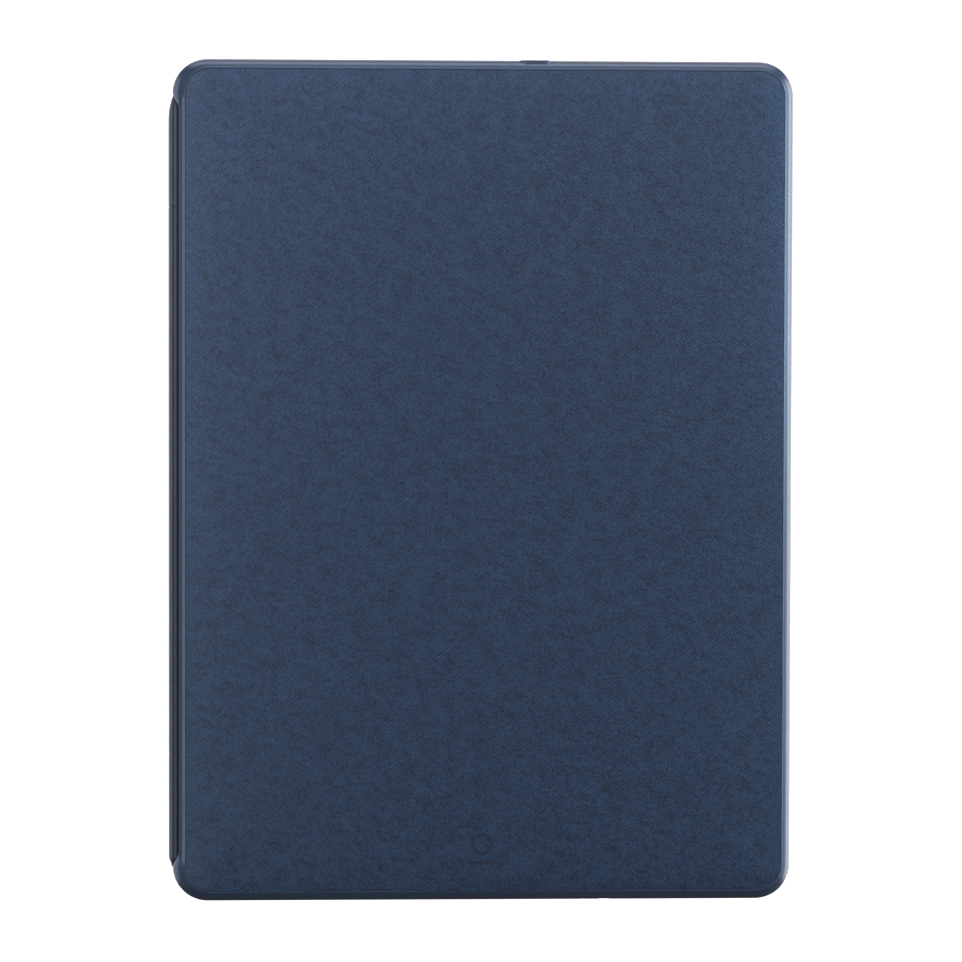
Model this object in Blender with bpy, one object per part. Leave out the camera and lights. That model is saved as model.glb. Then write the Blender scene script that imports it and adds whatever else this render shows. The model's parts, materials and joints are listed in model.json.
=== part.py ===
"""Clamshell keyboard case for an 11-inch-class tablet, standing closed.

A holder for the tablet (the tray) lies on the table. The keyboard half (the deck) lies face
down on it and opens about a barrel hinge along the back edge, at -X. The cover skins, the
shells, the hinge, the keys and what is under them are separate pieces.

Lengths are in millimetres, and MM turns them into metres. Left (+Y) and right (-Y) are those
of a person who types on the open keyboard.
"""

import math

import bmesh
import bpy

MM = 0.001
GAP = 0.3  # left between pieces that touch

# Outside
COVER_DEPTH = 186.0  # X, from the back edge to the front edge
COVER_LENGTH = 252.0  # Y
CASE_HEIGHT = 18.0
CORNER_RADIUS = 10.5
SPINE_PROUD = 1.3  # the hinge barrel stands out this far behind the cover
FRONT_X = (COVER_DEPTH + SPINE_PROUD) / 2
BACK_X = FRONT_X - COVER_DEPTH
END_Y = COVER_LENGTH / 2

# Cover skins and the rims round them
SKIN_THICKNESS = 0.7
SKIN_INSET = 3.1
LIP_INSET = SKIN_INSET - GAP
SKIN_SEAT = SKIN_THICKNESS + GAP  # depth of the seat below the outside face
WALL = 1.2

# Hinge: the barrel lies in a notch along the back edge
BARREL_RADIUS = 2.4
BARREL_BORE = 1.9
KNUCKLE_RADIUS = 1.6
PIN_RADIUS = 1.0
PIN_HOLE = 1.05
AXIS_X = BACK_X - SPINE_PROUD + BARREL_RADIUS
AXIS_Z = 10.5
SPINE_HALF = 116.1
CENTER_SLEEVE_HALF = 81.9
END_SLEEVE_START = CENTER_SLEEVE_HALF + 0.4
NOTCH_HALF = SPINE_HALF + GAP
NOTCH_X = BACK_X + 1.95
TROUGH_RADIUS = BARREL_RADIUS + GAP
CORNER_RELIEF = 3.1  # no corner stands nearer the axis than this, so that the lid can swing
LEAF_IN = 1.1  # a leaf's reach from the axis, where it leaves the knuckle
LEAF_BEND_IN = 1.65
LEAF_BEND_OUT = 2.35
LEAF_HALF = 0.4
DECK_LEAF_Y = (60.0, 80.0)
TRAY_LEAF_Y = (84.0, 104.0)
PIN_Y = (59.0, 107.0)
SCREW_RADIUS = 0.6
SCREW_HOLE = 0.65
SCREW_HEAD = 1.2
SCREW_HEAD_DEPTH = 0.5

TRAY_LEAF_BOTTOM = 4.2
TRAY_SCREW_Z = 6.0
TRAY_SCREW_Y = sum(TRAY_LEAF_Y) / 2

# Tray heights
TRAY_SHELL_TOP = 2.4
BUMPER_BOTTOM = TRAY_SHELL_TOP + GAP
LINING_TOP = BUMPER_BOTTOM + 0.5
BAY_TOP = 9.3
TRAY_TOP = 10.2
BUMPER_INSET = 0.35
BUMPER_BACK_X = NOTCH_X + 0.1

# Tablet bay: a tablet of 247.6 x 178.5 x 5.9 with a little room
BAY_BACK_X = -87.35
BAY_FRONT_X = 91.55
BAY_END_Y = 124.0
BAY_RADIUS = 8.9
BAY_LIP = 1.2
WINDOW_CENTER = (69.0, 101.0)
WINDOW_SIZE = 38.0
WINDOW_RADIUS = 8.0
GUARD_WIDTH = 3.0
USB_CUTOUT_X = (-5.2, 9.2)
USB_CUTOUT_Z = (3.7, 8.7)

# Tray buttons: a cap that shows outside, on a flange in a pocket of the bumper
BUTTON_HEIGHT = 2.8
BUTTON_MID_Z = 6.3
FLANGE_EDGE = 0.6
# Each button lies along X on the left end wall, or else along Y on the front wall.
BUTTONS = {
    "power_button": (True, 62.0, 74.0),
    "volume_up_button": (False, 91.0, 102.0),
    "volume_down_button": (False, 77.0, 88.0),
}

# Deck heights
DECK_BOTTOM = 10.8
KEY_TOP = 10.9
WELL_FLOOR = 11.5
FRAME_TOP = 12.2
SHELL_BOTTOM = FRAME_TOP + GAP
SHELL_INSIDE = 15.8
SHELL_SEAT = CASE_HEIGHT - SKIN_SEAT
FRAME_BACK_X = -88.4

# Turned profiles and bent outlines of the hinge, as (y or x or z, radius) and (x, z) from the axis
END_SLEEVE = (
    (110.5, BARREL_BORE),
    (END_SLEEVE_START, BARREL_BORE),
    (END_SLEEVE_START, BARREL_RADIUS),
    (111.2, BARREL_RADIUS),
    (113.0, 2.1),
    (114.8, 1.5),
    (SPINE_HALF, 0.8),
)
DECK_LEAF_Z = 2.8  # top of the flange, above the axis
DECK_LEAF_REACH = 6.05
DECK_LEAF = (
    (LEAF_IN, -LEAF_HALF),
    (LEAF_BEND_OUT, -LEAF_HALF),
    (LEAF_BEND_OUT, DECK_LEAF_Z - 0.7),
    (DECK_LEAF_REACH, DECK_LEAF_Z - 0.7),
    (DECK_LEAF_REACH, DECK_LEAF_Z),
    (LEAF_BEND_IN, DECK_LEAF_Z),
    (LEAF_BEND_IN, LEAF_HALF),
    (LEAF_IN, LEAF_HALF),
)
TRAY_LEAF = (
    (LEAF_IN, LEAF_HALF),
    (LEAF_IN, -LEAF_HALF),
    (LEAF_BEND_IN, -LEAF_HALF),
    (LEAF_BEND_IN, TRAY_LEAF_BOTTOM - AXIS_Z),
    (LEAF_BEND_OUT, TRAY_LEAF_BOTTOM - AXIS_Z),
    (LEAF_BEND_OUT, LEAF_HALF),
)
DECK_SCREW_X = -86.9
DECK_SCREW_Y = sum(DECK_LEAF_Y) / 2
DECK_SCREW = (
    (AXIS_Z + 1.45, SCREW_HEAD),
    (AXIS_Z + 1.45 + SCREW_HEAD_DEPTH, SCREW_HEAD),
    (AXIS_Z + 1.45 + SCREW_HEAD_DEPTH, SCREW_RADIUS),
    (15.2, SCREW_RADIUS),
)
TRAY_SCREW = (
    (AXIS_X + LEAF_BEND_IN + 0.05, SCREW_RADIUS),
    (BAY_BACK_X - 0.15 - SCREW_HEAD_DEPTH, SCREW_RADIUS),
    (BAY_BACK_X - 0.15 - SCREW_HEAD_DEPTH, SCREW_HEAD),
    (BAY_BACK_X - 0.15, SCREW_HEAD),
)

# Keyboard: rows run along Y, the first one next to the hinge
KEY_UNIT = 17.0
ROW_PITCH = 16.5
KEY_SPACE = 2.6
FUNCTION_DEPTH = 7.0
NUMBER_ROW_X = -66.5
KEYBOARD_UNITS = 14
CAP_TAPER = 0.5
HOLE_CLEARANCE = 0.4
KEY_FLANGE = 0.8
FLANGE_Z = (12.5, 13.1)
ARROW_SPACE = 0.9
WELL_MARGIN = 1.5
KEY_ROWS = (
    (("function_key_row", (1,) * 14),),
    (("number_key_row", (1,) * 13), ("backspace_key", (1,))),
    (("tab_key", (1,)), ("upper_letter_row", (1,) * 13)),
    (("caps_lock_key", (1.25,)), ("home_letter_row", (1,) * 11), ("return_key", (1.75,))),
    (("left_shift_key", (1.75,)), ("lower_letter_row", (1,) * 10), ("right_shift_key", (2.25,))),
    (
        ("modifier_keys_left", (1, 1, 1, 1.25)),
        ("space_bar", (4.5,)),
        ("modifier_keys_right", (1.25, 1)),
        ("arrow_left_key", (1,)),
        ("arrow_up_key arrow_down_key", (1,)),
        ("arrow_right_key", (1,)),
    ),
)

# Inside the deck
TRACKPAD = (21.0, 83.0, -55.0, 55.0)
TRACKPAD_RADIUS = 2.5
TRACKPAD_Z = (11.1, 12.7)
TRACKPAD_FLANGE = 1.5
TRACKPAD_FLANGE_Z = (12.5, 12.9)
SHEET = (-84.2, 9.3, -119.4, 119.4)
DOME_SHEET_Z = (14.3, 14.8)
SUPPORT_PLATE_Z = (15.1, 15.5)
BOARD_Z = (13.5, 14.3)
BOARD_STRIP = (11.0, 20.5, -118.0, 118.0)
BOARD_FRONT_X = 82.0
BOARD_HALF = 54.0
BATTERY_X = (24.0, 82.0)
BATTERY_Y = (58.5, 117.0)
BATTERY_Z = (12.6, 15.3)
MAGNET_X = (85.8, 90.8)
MAGNET_Y = (66.0, 90.0)
MAGNET_Z = (12.6, 15.4)
PORT_X = 16.0
PORT_Z = 14.0
PORT_SIZE = (9.0, 3.1)
PORT_MOUTH = (8.4, 2.5)
PORT_Y = (118.3, 125.4)
PORT_DEPTH = 5.5
LIGHT_AT = (16.0, 100.0)
LIGHT_RADIUS = 0.8
LIGHT_Z = (10.95, 13.2)
SWITCH_X = (31.0, 36.0)
SWITCH_Z = (13.2, 14.8)
SWITCH_TRAVEL = 3.0
PAD_Z = (10.45, 11.2)
PAD_WIDTH = 1.4
PAD_LENGTH = 12.0
NOTCH_FINGER_HALF = 11.0

# Segments
CORNER_STEPS = 6
ROUND_STEPS = 24
SMALL_STEPS = 16


# ---------------------------------------------------------------- shapes: (points, faces)


def outline(rect, radius, steps=CORNER_STEPS):
    """The points round a rectangle (x0, x1, y0, y1) with round corners."""
    x0, x1, y0, y1 = rect
    centers = (
        (x1 - radius, y1 - radius),
        (x0 + radius, y1 - radius),
        (x0 + radius, y0 + radius),
        (x1 - radius, y0 + radius),
    )
    points = []
    for quarter, (cx, cy) in enumerate(centers):
        for step in range(steps + 1):
            angle = math.radians(90) * (quarter + step / steps)
            points.append((cx + radius * math.cos(angle), cy + radius * math.sin(angle)))
    return points


def inset(rect, by):
    x0, x1, y0, y1 = rect
    return (x0 + by, x1 - by, y0 + by, y1 - by)


def ring(rect, radius, z, by=0.0):
    """An outline at height z, moved inwards by `by` with its corners still concentric."""
    return [(x, y, z) for x, y in outline(inset(rect, by), radius - by)]


def loft(rings, closed=False):
    """Join rings of equally many points. An open loft is capped, a closed one is a frame."""
    count = len(rings[0])
    points = [point for one in rings for point in one]
    faces = []
    last = len(rings) if closed else len(rings) - 1
    for level in range(last):
        low = level * count
        high = (level + 1) % len(rings) * count
        for i in range(count):
            j = (i + 1) % count
            faces.append((low + i, low + j, high + j, high + i))
    if not closed:
        faces.append(tuple(reversed(range(count))))
        faces.append(tuple(range(len(points) - count, len(points))))
    return points, faces


def prism(points, z0, z1):
    return loft([[(x, y, z) for x, y in points] for z in (z0, z1)])


def prism_y(points, y0, y1):
    """An (x, z) outline drawn out along Y."""
    return loft([[(x, y, z) for x, z in points] for y in (y0, y1)])


def box(x0, x1, y0, y1, z0, z1):
    return prism([(x0, y0), (x1, y0), (x1, y1), (x0, y1)], z0, z1)


def circle(radius, steps):
    angles = [2 * math.pi * step / steps for step in range(steps)]
    return [(radius * math.cos(angle), radius * math.sin(angle)) for angle in angles]


def turned_y(profile, closed=False, steps=ROUND_STEPS):
    """A (y, radius) profile turned about the hinge axis."""
    rings = []
    for y, radius in profile:
        rings.append([(AXIS_X + a, y, AXIS_Z + b) for a, b in circle(radius, steps)])
    return loft(rings, closed)


def turned_z(x, y, profile, steps=SMALL_STEPS):
    """A (z, radius) profile turned about an upright axis at x, y."""
    return loft([[(x + a, y + b, z) for a, b in circle(radius, steps)] for z, radius in profile])


def turned_x(y, z, profile, steps=SMALL_STEPS):
    """An (x, radius) profile turned about an axis along X at y, z."""
    return loft([[(x, y + a, z + b) for a, b in circle(radius, steps)] for x, radius in profile])


def from_axis(pairs):
    """(x, z) points given from the hinge axis."""
    return [(AXIS_X + x, AXIS_Z + z) for x, z in pairs]


def span(y_range, side, by=0.0):
    """A Y range on the left (side 1) or mirrored to the right (side -1), grown by `by`."""
    low, high = sorted(side * y for y in y_range)
    return low - by, high + by


# ---------------------------------------------------------------- objects


def clear_scene():
    for obj in list(bpy.data.objects):
        bpy.data.objects.remove(obj)


def principled(name, color, roughness, metallic=0.0):
    material = bpy.data.materials.new(name)
    material.use_nodes = True
    shader = material.node_tree.nodes["Principled BSDF"]
    shader.inputs["Base Color"].default_value = (*color, 1.0)
    shader.inputs["Roughness"].default_value = roughness
    shader.inputs["Metallic"].default_value = metallic
    material.diffuse_color = (*color, 1.0)
    return material


def make_mesh(name, shapes, origin):
    """One mesh in metres from shapes in millimetres, with `origin` as its zero point."""
    bm = bmesh.new()
    for points, faces in shapes:
        verts = [bm.verts.new([(p - o) * MM for p, o in zip(point, origin)]) for point in points]
        for face in faces:
            bm.faces.new([verts[i] for i in face])
    bmesh.ops.recalc_face_normals(bm, faces=bm.faces)
    mesh = bpy.data.meshes.new(name)
    bm.to_mesh(mesh)
    bm.free()
    mesh.shade_smooth()
    mesh.set_sharp_from_angle(angle=math.radians(35))
    return mesh


def add_empty(name, at):
    empty = bpy.data.objects.new(name, None)
    empty.location = [value * MM for value in at]
    empty.empty_display_size = 10 * MM
    bpy.context.collection.objects.link(empty)
    return empty


def add(name, shapes, material, parent, origin=None):
    """A piece of the case. Its origin is its parent's, or a point of its own."""
    home = [value / MM for value in parent.location]
    at = home if origin is None else origin
    obj = bpy.data.objects.new(name, make_mesh(name, shapes, at))
    obj.data.materials.append(material)
    obj.parent = parent
    obj.location = [(a - h) * MM for a, h in zip(at, home)]
    bpy.context.collection.objects.link(obj)
    return obj


def tool(name, shapes):
    """A hidden solid that a Boolean reads."""
    obj = bpy.data.objects.new(name, make_mesh(name, shapes, (0.0, 0.0, 0.0)))
    obj.hide_render = True
    obj.display_type = "WIRE"
    bpy.context.collection.objects.link(obj)
    return obj


def combine(obj, operation, shapes):
    """Cut shapes out of a piece ("DIFFERENCE") or join them to it ("UNION")."""
    name = f"{obj.name}_{operation.lower()}_{len(obj.modifiers)}"
    modifier = obj.modifiers.new(name, "BOOLEAN")
    modifier.operation = operation
    modifier.solver = "EXACT"
    modifier.object = tool(name, shapes)


# ---------------------------------------------------------------- outlines used by many pieces

COVER = (BACK_X, FRONT_X, -END_Y, END_Y)
BAY = (BAY_BACK_X, BAY_FRONT_X, -BAY_END_Y, BAY_END_Y)
WINDOW = (
    WINDOW_CENTER[0] - WINDOW_SIZE / 2,
    WINDOW_CENTER[0] + WINDOW_SIZE / 2,
    WINDOW_CENTER[1] - WINDOW_SIZE / 2,
    WINDOW_CENTER[1] + WINDOW_SIZE / 2,
)
FAR = 20.0  # how far a cutter runs past what it cuts

# The rim from the skin's seat outwards, as (inset from the cover's edge, depth below the
# outside face): an upstanding lip, a narrow bevel, then a round shoulder.
RIM = (
    (LIP_INSET, SKIN_SEAT),
    (LIP_INSET, 0.3),
    (2.4, 0.15),
    (1.5, 0.5),
    (0.8, 1.05),
    (0.3, 1.75),
)


def trough():
    """The round channel that the hinge barrel turns in."""
    return turned_y([(-NOTCH_HALF, TROUGH_RADIUS), (NOTCH_HALF, TROUGH_RADIUS)])


def notch(face_z, outward):
    """What is cut off along the spine, with the rim's round shoulder in its edge."""
    back = BACK_X - FAR
    points = [
        (back, AXIS_Z - outward * FAR),
        (NOTCH_X, AXIS_Z - outward * FAR),
        (NOTCH_X, face_z - outward * 2.2),
        (NOTCH_X + 0.15, face_z - outward * 1.2),
        (NOTCH_X + 0.45, face_z - outward * 0.6),
        (NOTCH_X + 0.8, face_z - outward * 0.25),
        (NOTCH_X + 0.8, face_z + outward * FAR),
        (back, face_z + outward * FAR),
    ]
    return prism_y(points, -NOTCH_HALF, NOTCH_HALF)


def corner_relief(outward):
    """Clears the corners beside the barrel's ends for the swing of the lid."""
    z0, z1 = sorted((AXIS_Z - outward * FAR, AXIS_Z + outward * CORNER_RELIEF))
    return box(BACK_X - FAR, NOTCH_X, -END_Y - FAR, END_Y + FAR, z0, z1)


# ---------------------------------------------------------------- tray


def build_tray_covers(tray, materials):
    skin_ring = [ring(COVER, CORNER_RADIUS, z, SKIN_INSET) for z in (0.0, SKIN_THICKNESS)]
    skin = add("tray_back_skin", [loft(skin_ring)], materials["skin"], tray)
    rim = [ring(COVER, CORNER_RADIUS, depth, by) for by, depth in RIM]
    shell = add(
        "tray_shell",
        [loft(rim + [ring(COVER, CORNER_RADIUS, TRAY_SHELL_TOP)])],
        materials["shell"],
        tray,
    )
    combine(shell, "DIFFERENCE", [notch(0.0, -1)])
    bay_floor = [ring(BAY, BAY_RADIUS, z, GAP) for z in (BUMPER_BOTTOM, LINING_TOP)]
    lining = add("tray_lining", [loft(bay_floor)], materials["lining"], tray)
    for piece in (skin, shell, lining):
        window = prism(outline(WINDOW, WINDOW_RADIUS), -FAR, FAR)
        combine(piece, "DIFFERENCE", [window])
    guard = [
        ring(WINDOW, WINDOW_RADIUS, z, by)
        for by, z in ((GAP, 0.2), (GAP, 2.3), (GUARD_WIDTH, 2.3), (GUARD_WIDTH, 0.2))
    ]
    add("camera_guard_ring", [loft(guard, closed=True)], materials["bumper"], tray)


def leaf_pocket(side):
    y0, y1 = span(TRAY_LEAF_Y, side, GAP)
    x0 = AXIS_X + LEAF_BEND_IN - GAP
    x1 = AXIS_X + LEAF_BEND_OUT + GAP
    return box(x0, x1, y0, y1, TRAY_LEAF_BOTTOM - GAP, AXIS_Z + FAR)


def build_bumper(tray, materials):
    outside = [
        ring(COVER, CORNER_RADIUS, z, by)
        for by, z in (
            (BUMPER_INSET, BUMPER_BOTTOM),
            (BUMPER_INSET, TRAY_TOP - 0.6),
            (BUMPER_INSET + 0.2, TRAY_TOP - 0.2),
            (BUMPER_INSET + 0.6, TRAY_TOP),
        )
    ]
    inside = [
        ring(BAY, BAY_RADIUS, z, by)
        for by, z in (
            (BAY_LIP - 0.3, TRAY_TOP),
            (BAY_LIP, TRAY_TOP - 0.3),
            (BAY_LIP, BAY_TOP),
            (0.0, BAY_TOP),
            (0.0, BUMPER_BOTTOM),
        )
    ]
    bumper = add("tray_bumper", [loft(outside + inside, closed=True)], materials["bumper"], tray)
    spine_side = box(BACK_X - FAR, BUMPER_BACK_X, -NOTCH_HALF, NOTCH_HALF, -FAR, FAR)
    combine(bumper, "DIFFERENCE", [spine_side])
    combine(bumper, "DIFFERENCE", [trough()])
    combine(bumper, "DIFFERENCE", [corner_relief(-1)])
    combine(bumper, "DIFFERENCE", [leaf_pocket(1), leaf_pocket(-1)])
    screw_ways = []
    for side in (1, -1):
        ways = [
            (AXIS_X + LEAF_BEND_OUT, 0.9),
            (BAY_BACK_X - 0.95, 0.9),
            (BAY_BACK_X - 0.95, SCREW_HEAD + GAP),
            (BAY_BACK_X + 0.5, SCREW_HEAD + GAP),
        ]
        screw_ways.append(turned_x(side * TRAY_SCREW_Y, TRAY_SCREW_Z, ways))
    combine(bumper, "DIFFERENCE", screw_ways)
    usb = box(*USB_CUTOUT_X, -END_Y - FAR, -BAY_END_Y + 1.0, *USB_CUTOUT_Z)
    combine(bumper, "DIFFERENCE", [usb])
    holes = []
    pockets = []
    for along_x, start, end in BUTTONS.values():
        holes.append(button_box(along_x, start, end, GAP, 0.0, FAR))
        pockets.append(button_box(along_x, start, end, FLANGE_EDGE + GAP, -1.0, 0.9))
    combine(bumper, "DIFFERENCE", holes)
    combine(bumper, "DIFFERENCE", pockets)


def button_box(along_x, start, end, grow, low, high):
    """A box on a bay wall. low and high are measured outwards from the wall's inner face."""
    z0 = BUTTON_MID_Z - BUTTON_HEIGHT / 2 - grow
    z1 = BUTTON_MID_Z + BUTTON_HEIGHT / 2 + grow
    if along_x:
        return box(start - grow, end + grow, BAY_END_Y + low, BAY_END_Y + high, z0, z1)
    return box(BAY_FRONT_X + low, BAY_FRONT_X + high, start - grow, end + grow, z0, z1)


def build_buttons(tray, materials):
    for name, (along_x, start, end) in BUTTONS.items():
        outer = END_Y - BAY_END_Y if along_x else FRONT_X - BAY_FRONT_X
        flange = button_box(along_x, start, end, FLANGE_EDGE, 0.05, 0.55)
        cap = button_box(along_x, start, end, 0.0, 0.4, outer - 0.05)
        middle = (start + end) / 2
        if along_x:
            origin = (middle, BAY_END_Y, BUTTON_MID_Z)
        else:
            origin = (BAY_FRONT_X, middle, BUTTON_MID_Z)
        button = add(name, [flange], materials["button"], tray, origin)
        combine(button, "UNION", [cap])


# ---------------------------------------------------------------- hinge


def build_hinge(tray, deck, materials):
    steel = materials["steel"]
    center = add(
        "spine_sleeve_center",
        [
            turned_y(
                [
                    (-CENTER_SLEEVE_HALF, BARREL_RADIUS),
                    (CENTER_SLEEVE_HALF, BARREL_RADIUS),
                    (CENTER_SLEEVE_HALF, BARREL_BORE),
                    (-CENTER_SLEEVE_HALF, BARREL_BORE),
                ],
                closed=True,
            )
        ],
        materials["spine"],
        deck,
    )
    slots = [sleeve_slot(span(DECK_LEAF_Y, side, GAP), 1) for side in (1, -1)]
    combine(center, "DIFFERENCE", slots)
    for side, name in ((1, "left"), (-1, "right")):
        sleeve = add(
            f"spine_sleeve_{name}",
            [turned_y([(side * y, radius) for y, radius in END_SLEEVE])],
            materials["spine"],
            tray,
        )
        combine(sleeve, "DIFFERENCE", [sleeve_slot(span(TRAY_LEAF_Y, side, GAP), -1)])
        pin = [(y, PIN_RADIUS) for y in span(PIN_Y, side)]
        add(f"hinge_pin_{name}", [turned_y(pin)], steel, tray)
        build_leaf(f"deck_leaf_{name}", span(DECK_LEAF_Y, side), DECK_LEAF, steel, deck)
        build_leaf(f"tray_leaf_{name}", span(TRAY_LEAF_Y, side), TRAY_LEAF, steel, tray)
        deck_screw = turned_z(DECK_SCREW_X, side * DECK_SCREW_Y, DECK_SCREW)
        add(f"deck_leaf_screw_{name}", [deck_screw], steel, deck)
        tray_screw = turned_x(side * TRAY_SCREW_Y, TRAY_SCREW_Z, TRAY_SCREW)
        add(f"tray_leaf_screw_{name}", [tray_screw], steel, tray)


def sleeve_slot(y_range, upward):
    """The slot that a leaf leaves the barrel through, above or below the axis."""
    z0, z1 = sorted((AXIS_Z - upward * (LEAF_HALF + GAP), AXIS_Z + upward * 4.0))
    return box(AXIS_X + LEAF_BEND_IN - GAP, AXIS_X + 4.0, *y_range, z0, z1)


def build_leaf(name, y_range, profile, steel, parent):
    """A knuckle on the pin with a bent flange, and a hole for its screw."""
    y0, y1 = y_range
    knuckle = [(y0, KNUCKLE_RADIUS), (y1, KNUCKLE_RADIUS), (y1, PIN_HOLE), (y0, PIN_HOLE)]
    leaf = add(name, [turned_y(knuckle, closed=True)], steel, parent)
    combine(leaf, "UNION", [prism_y(from_axis(profile), y0, y1)])
    middle = (y0 + y1) / 2
    if profile is DECK_LEAF:
        hole = turned_z(DECK_SCREW_X, middle, [(AXIS_Z + 1.5, SCREW_HOLE), (AXIS_Z + 4, SCREW_HOLE)])
    else:
        ends = (AXIS_X + LEAF_BEND_IN - 0.4, AXIS_X + LEAF_BEND_OUT + 0.4)
        hole = turned_x(middle, TRAY_SCREW_Z, [(x, SCREW_HOLE) for x in ends])
    combine(leaf, "DIFFERENCE", [hole])


# ---------------------------------------------------------------- deck


def build_deck_covers(deck, materials):
    skin = [
        ring(COVER, CORNER_RADIUS, z, SKIN_INSET)
        for z in (CASE_HEIGHT - SKIN_THICKNESS, CASE_HEIGHT)
    ]
    add("deck_skin", [loft(skin)], materials["skin"], deck)
    inside = (NOTCH_X + WALL, FRONT_X - WALL, -END_Y + WALL, END_Y - WALL)
    rings = [ring(COVER, CORNER_RADIUS, CASE_HEIGHT - depth, by) for by, depth in RIM]
    rings.append(ring(COVER, CORNER_RADIUS, CASE_HEIGHT - 2.8))
    rings.append(ring(COVER, CORNER_RADIUS, SHELL_BOTTOM))
    rings.append(ring(inside, CORNER_RADIUS - WALL, SHELL_BOTTOM))
    rings.append(ring(inside, CORNER_RADIUS - WALL, SHELL_INSIDE))
    shell = add("deck_shell", [loft(rings)], materials["shell"], deck)
    bosses = [
        turned_z(DECK_SCREW_X, side * DECK_SCREW_Y, [(AXIS_Z + DECK_LEAF_Z + GAP, 1.7), (16.4, 1.7)])
        for side in (1, -1)
    ]
    combine(shell, "UNION", bosses)
    combine(shell, "DIFFERENCE", [notch(CASE_HEIGHT, 1)])
    combine(shell, "DIFFERENCE", [trough()])
    combine(shell, "DIFFERENCE", [corner_relief(1)])
    ways = []
    for side in (1, -1):
        y0, y1 = span(DECK_LEAF_Y, side, GAP)
        slot_top = AXIS_Z + DECK_LEAF_Z + GAP
        ways.append(box(AXIS_X + LEAF_BEND_IN - GAP, NOTCH_X + WALL + 0.1, y0, y1, 9.0, slot_top))
        hole = [(slot_top - 0.5, SCREW_HOLE), (15.6, SCREW_HOLE)]
        ways.append(turned_z(DECK_SCREW_X, side * DECK_SCREW_Y, hole))
    half_x, half_z = (size / 2 + GAP for size in PORT_SIZE)
    ways.append(
        box(PORT_X - half_x, PORT_X + half_x, END_Y - 3.0, END_Y + 3.0, 9.0, PORT_Z + half_z)
    )
    slot_x = (SWITCH_X[0] - GAP, SWITCH_X[1] + SWITCH_TRAVEL + GAP)
    ways.append(box(*slot_x, -END_Y - 3.0, -END_Y + 3.0, SWITCH_Z[0] - GAP, SWITCH_Z[1] + GAP))
    combine(shell, "DIFFERENCE", ways)


def key_groups():
    """Each key node's name, with its keys as (x0, x1, y0, y1) rectangles, row by row."""
    groups = []
    for row, nodes in enumerate(KEY_ROWS):
        depth = ROW_PITCH - KEY_SPACE
        x0 = NUMBER_ROW_X - depth / 2 + (row - 1) * ROW_PITCH
        if row == 0:
            depth = FUNCTION_DEPTH
            x0 = NUMBER_ROW_X - ROW_PITCH / 2 - KEY_SPACE / 2 - depth
        y = KEYBOARD_UNITS * KEY_UNIT / 2
        for names, widths in nodes:
            keys = []
            for width in widths:
                keys.append((x0, x0 + depth, y - width * KEY_UNIT + KEY_SPACE / 2, y - KEY_SPACE / 2))
                y -= width * KEY_UNIT
            groups.append((names.split(), keys))
    return groups


def cap(rect):
    """A key cap, slightly narrower at its top, which faces down on the closed case."""
    top = outline_box(inset(rect, CAP_TAPER))
    foot = outline_box(rect)
    heights = (KEY_TOP, (FLANGE_Z[0] + FLANGE_Z[1]) / 2)
    return loft([[(x, y, z) for x, y in ends] for ends, z in zip((top, foot), heights)])


def outline_box(rect):
    x0, x1, y0, y1 = rect
    return [(x0, y0), (x1, y0), (x1, y1), (x0, y1)]


def add_keys(name, keys, flange, deck, materials):
    middle = ((flange[0] + flange[1]) / 2, (flange[2] + flange[3]) / 2, KEY_TOP)
    node = add(name, [box(*flange, *FLANGE_Z)], materials["key"], deck, middle)
    combine(node, "UNION", [cap(key) for key in keys])


def build_keys(deck, materials):
    for names, keys in key_groups():
        x0, x1, y0, y1 = keys[0][0], keys[0][1], keys[-1][2], keys[0][3]
        outer = inset((x0, x1, y0, y1), -KEY_FLANGE)
        if len(names) == 1:
            add_keys(names[0], keys, outer, deck, materials)
            continue
        middle = (x0 + x1) / 2
        near = middle - ARROW_SPACE / 2
        far = middle + ARROW_SPACE / 2
        up_flange = (outer[0], near, outer[2], outer[3])
        down_flange = (far, outer[1], outer[2], outer[3])
        add_keys(names[0], [(x0, near, y0, y1)], up_flange, deck, materials)
        add_keys(names[1], [(far, x1, y0, y1)], down_flange, deck, materials)


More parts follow.
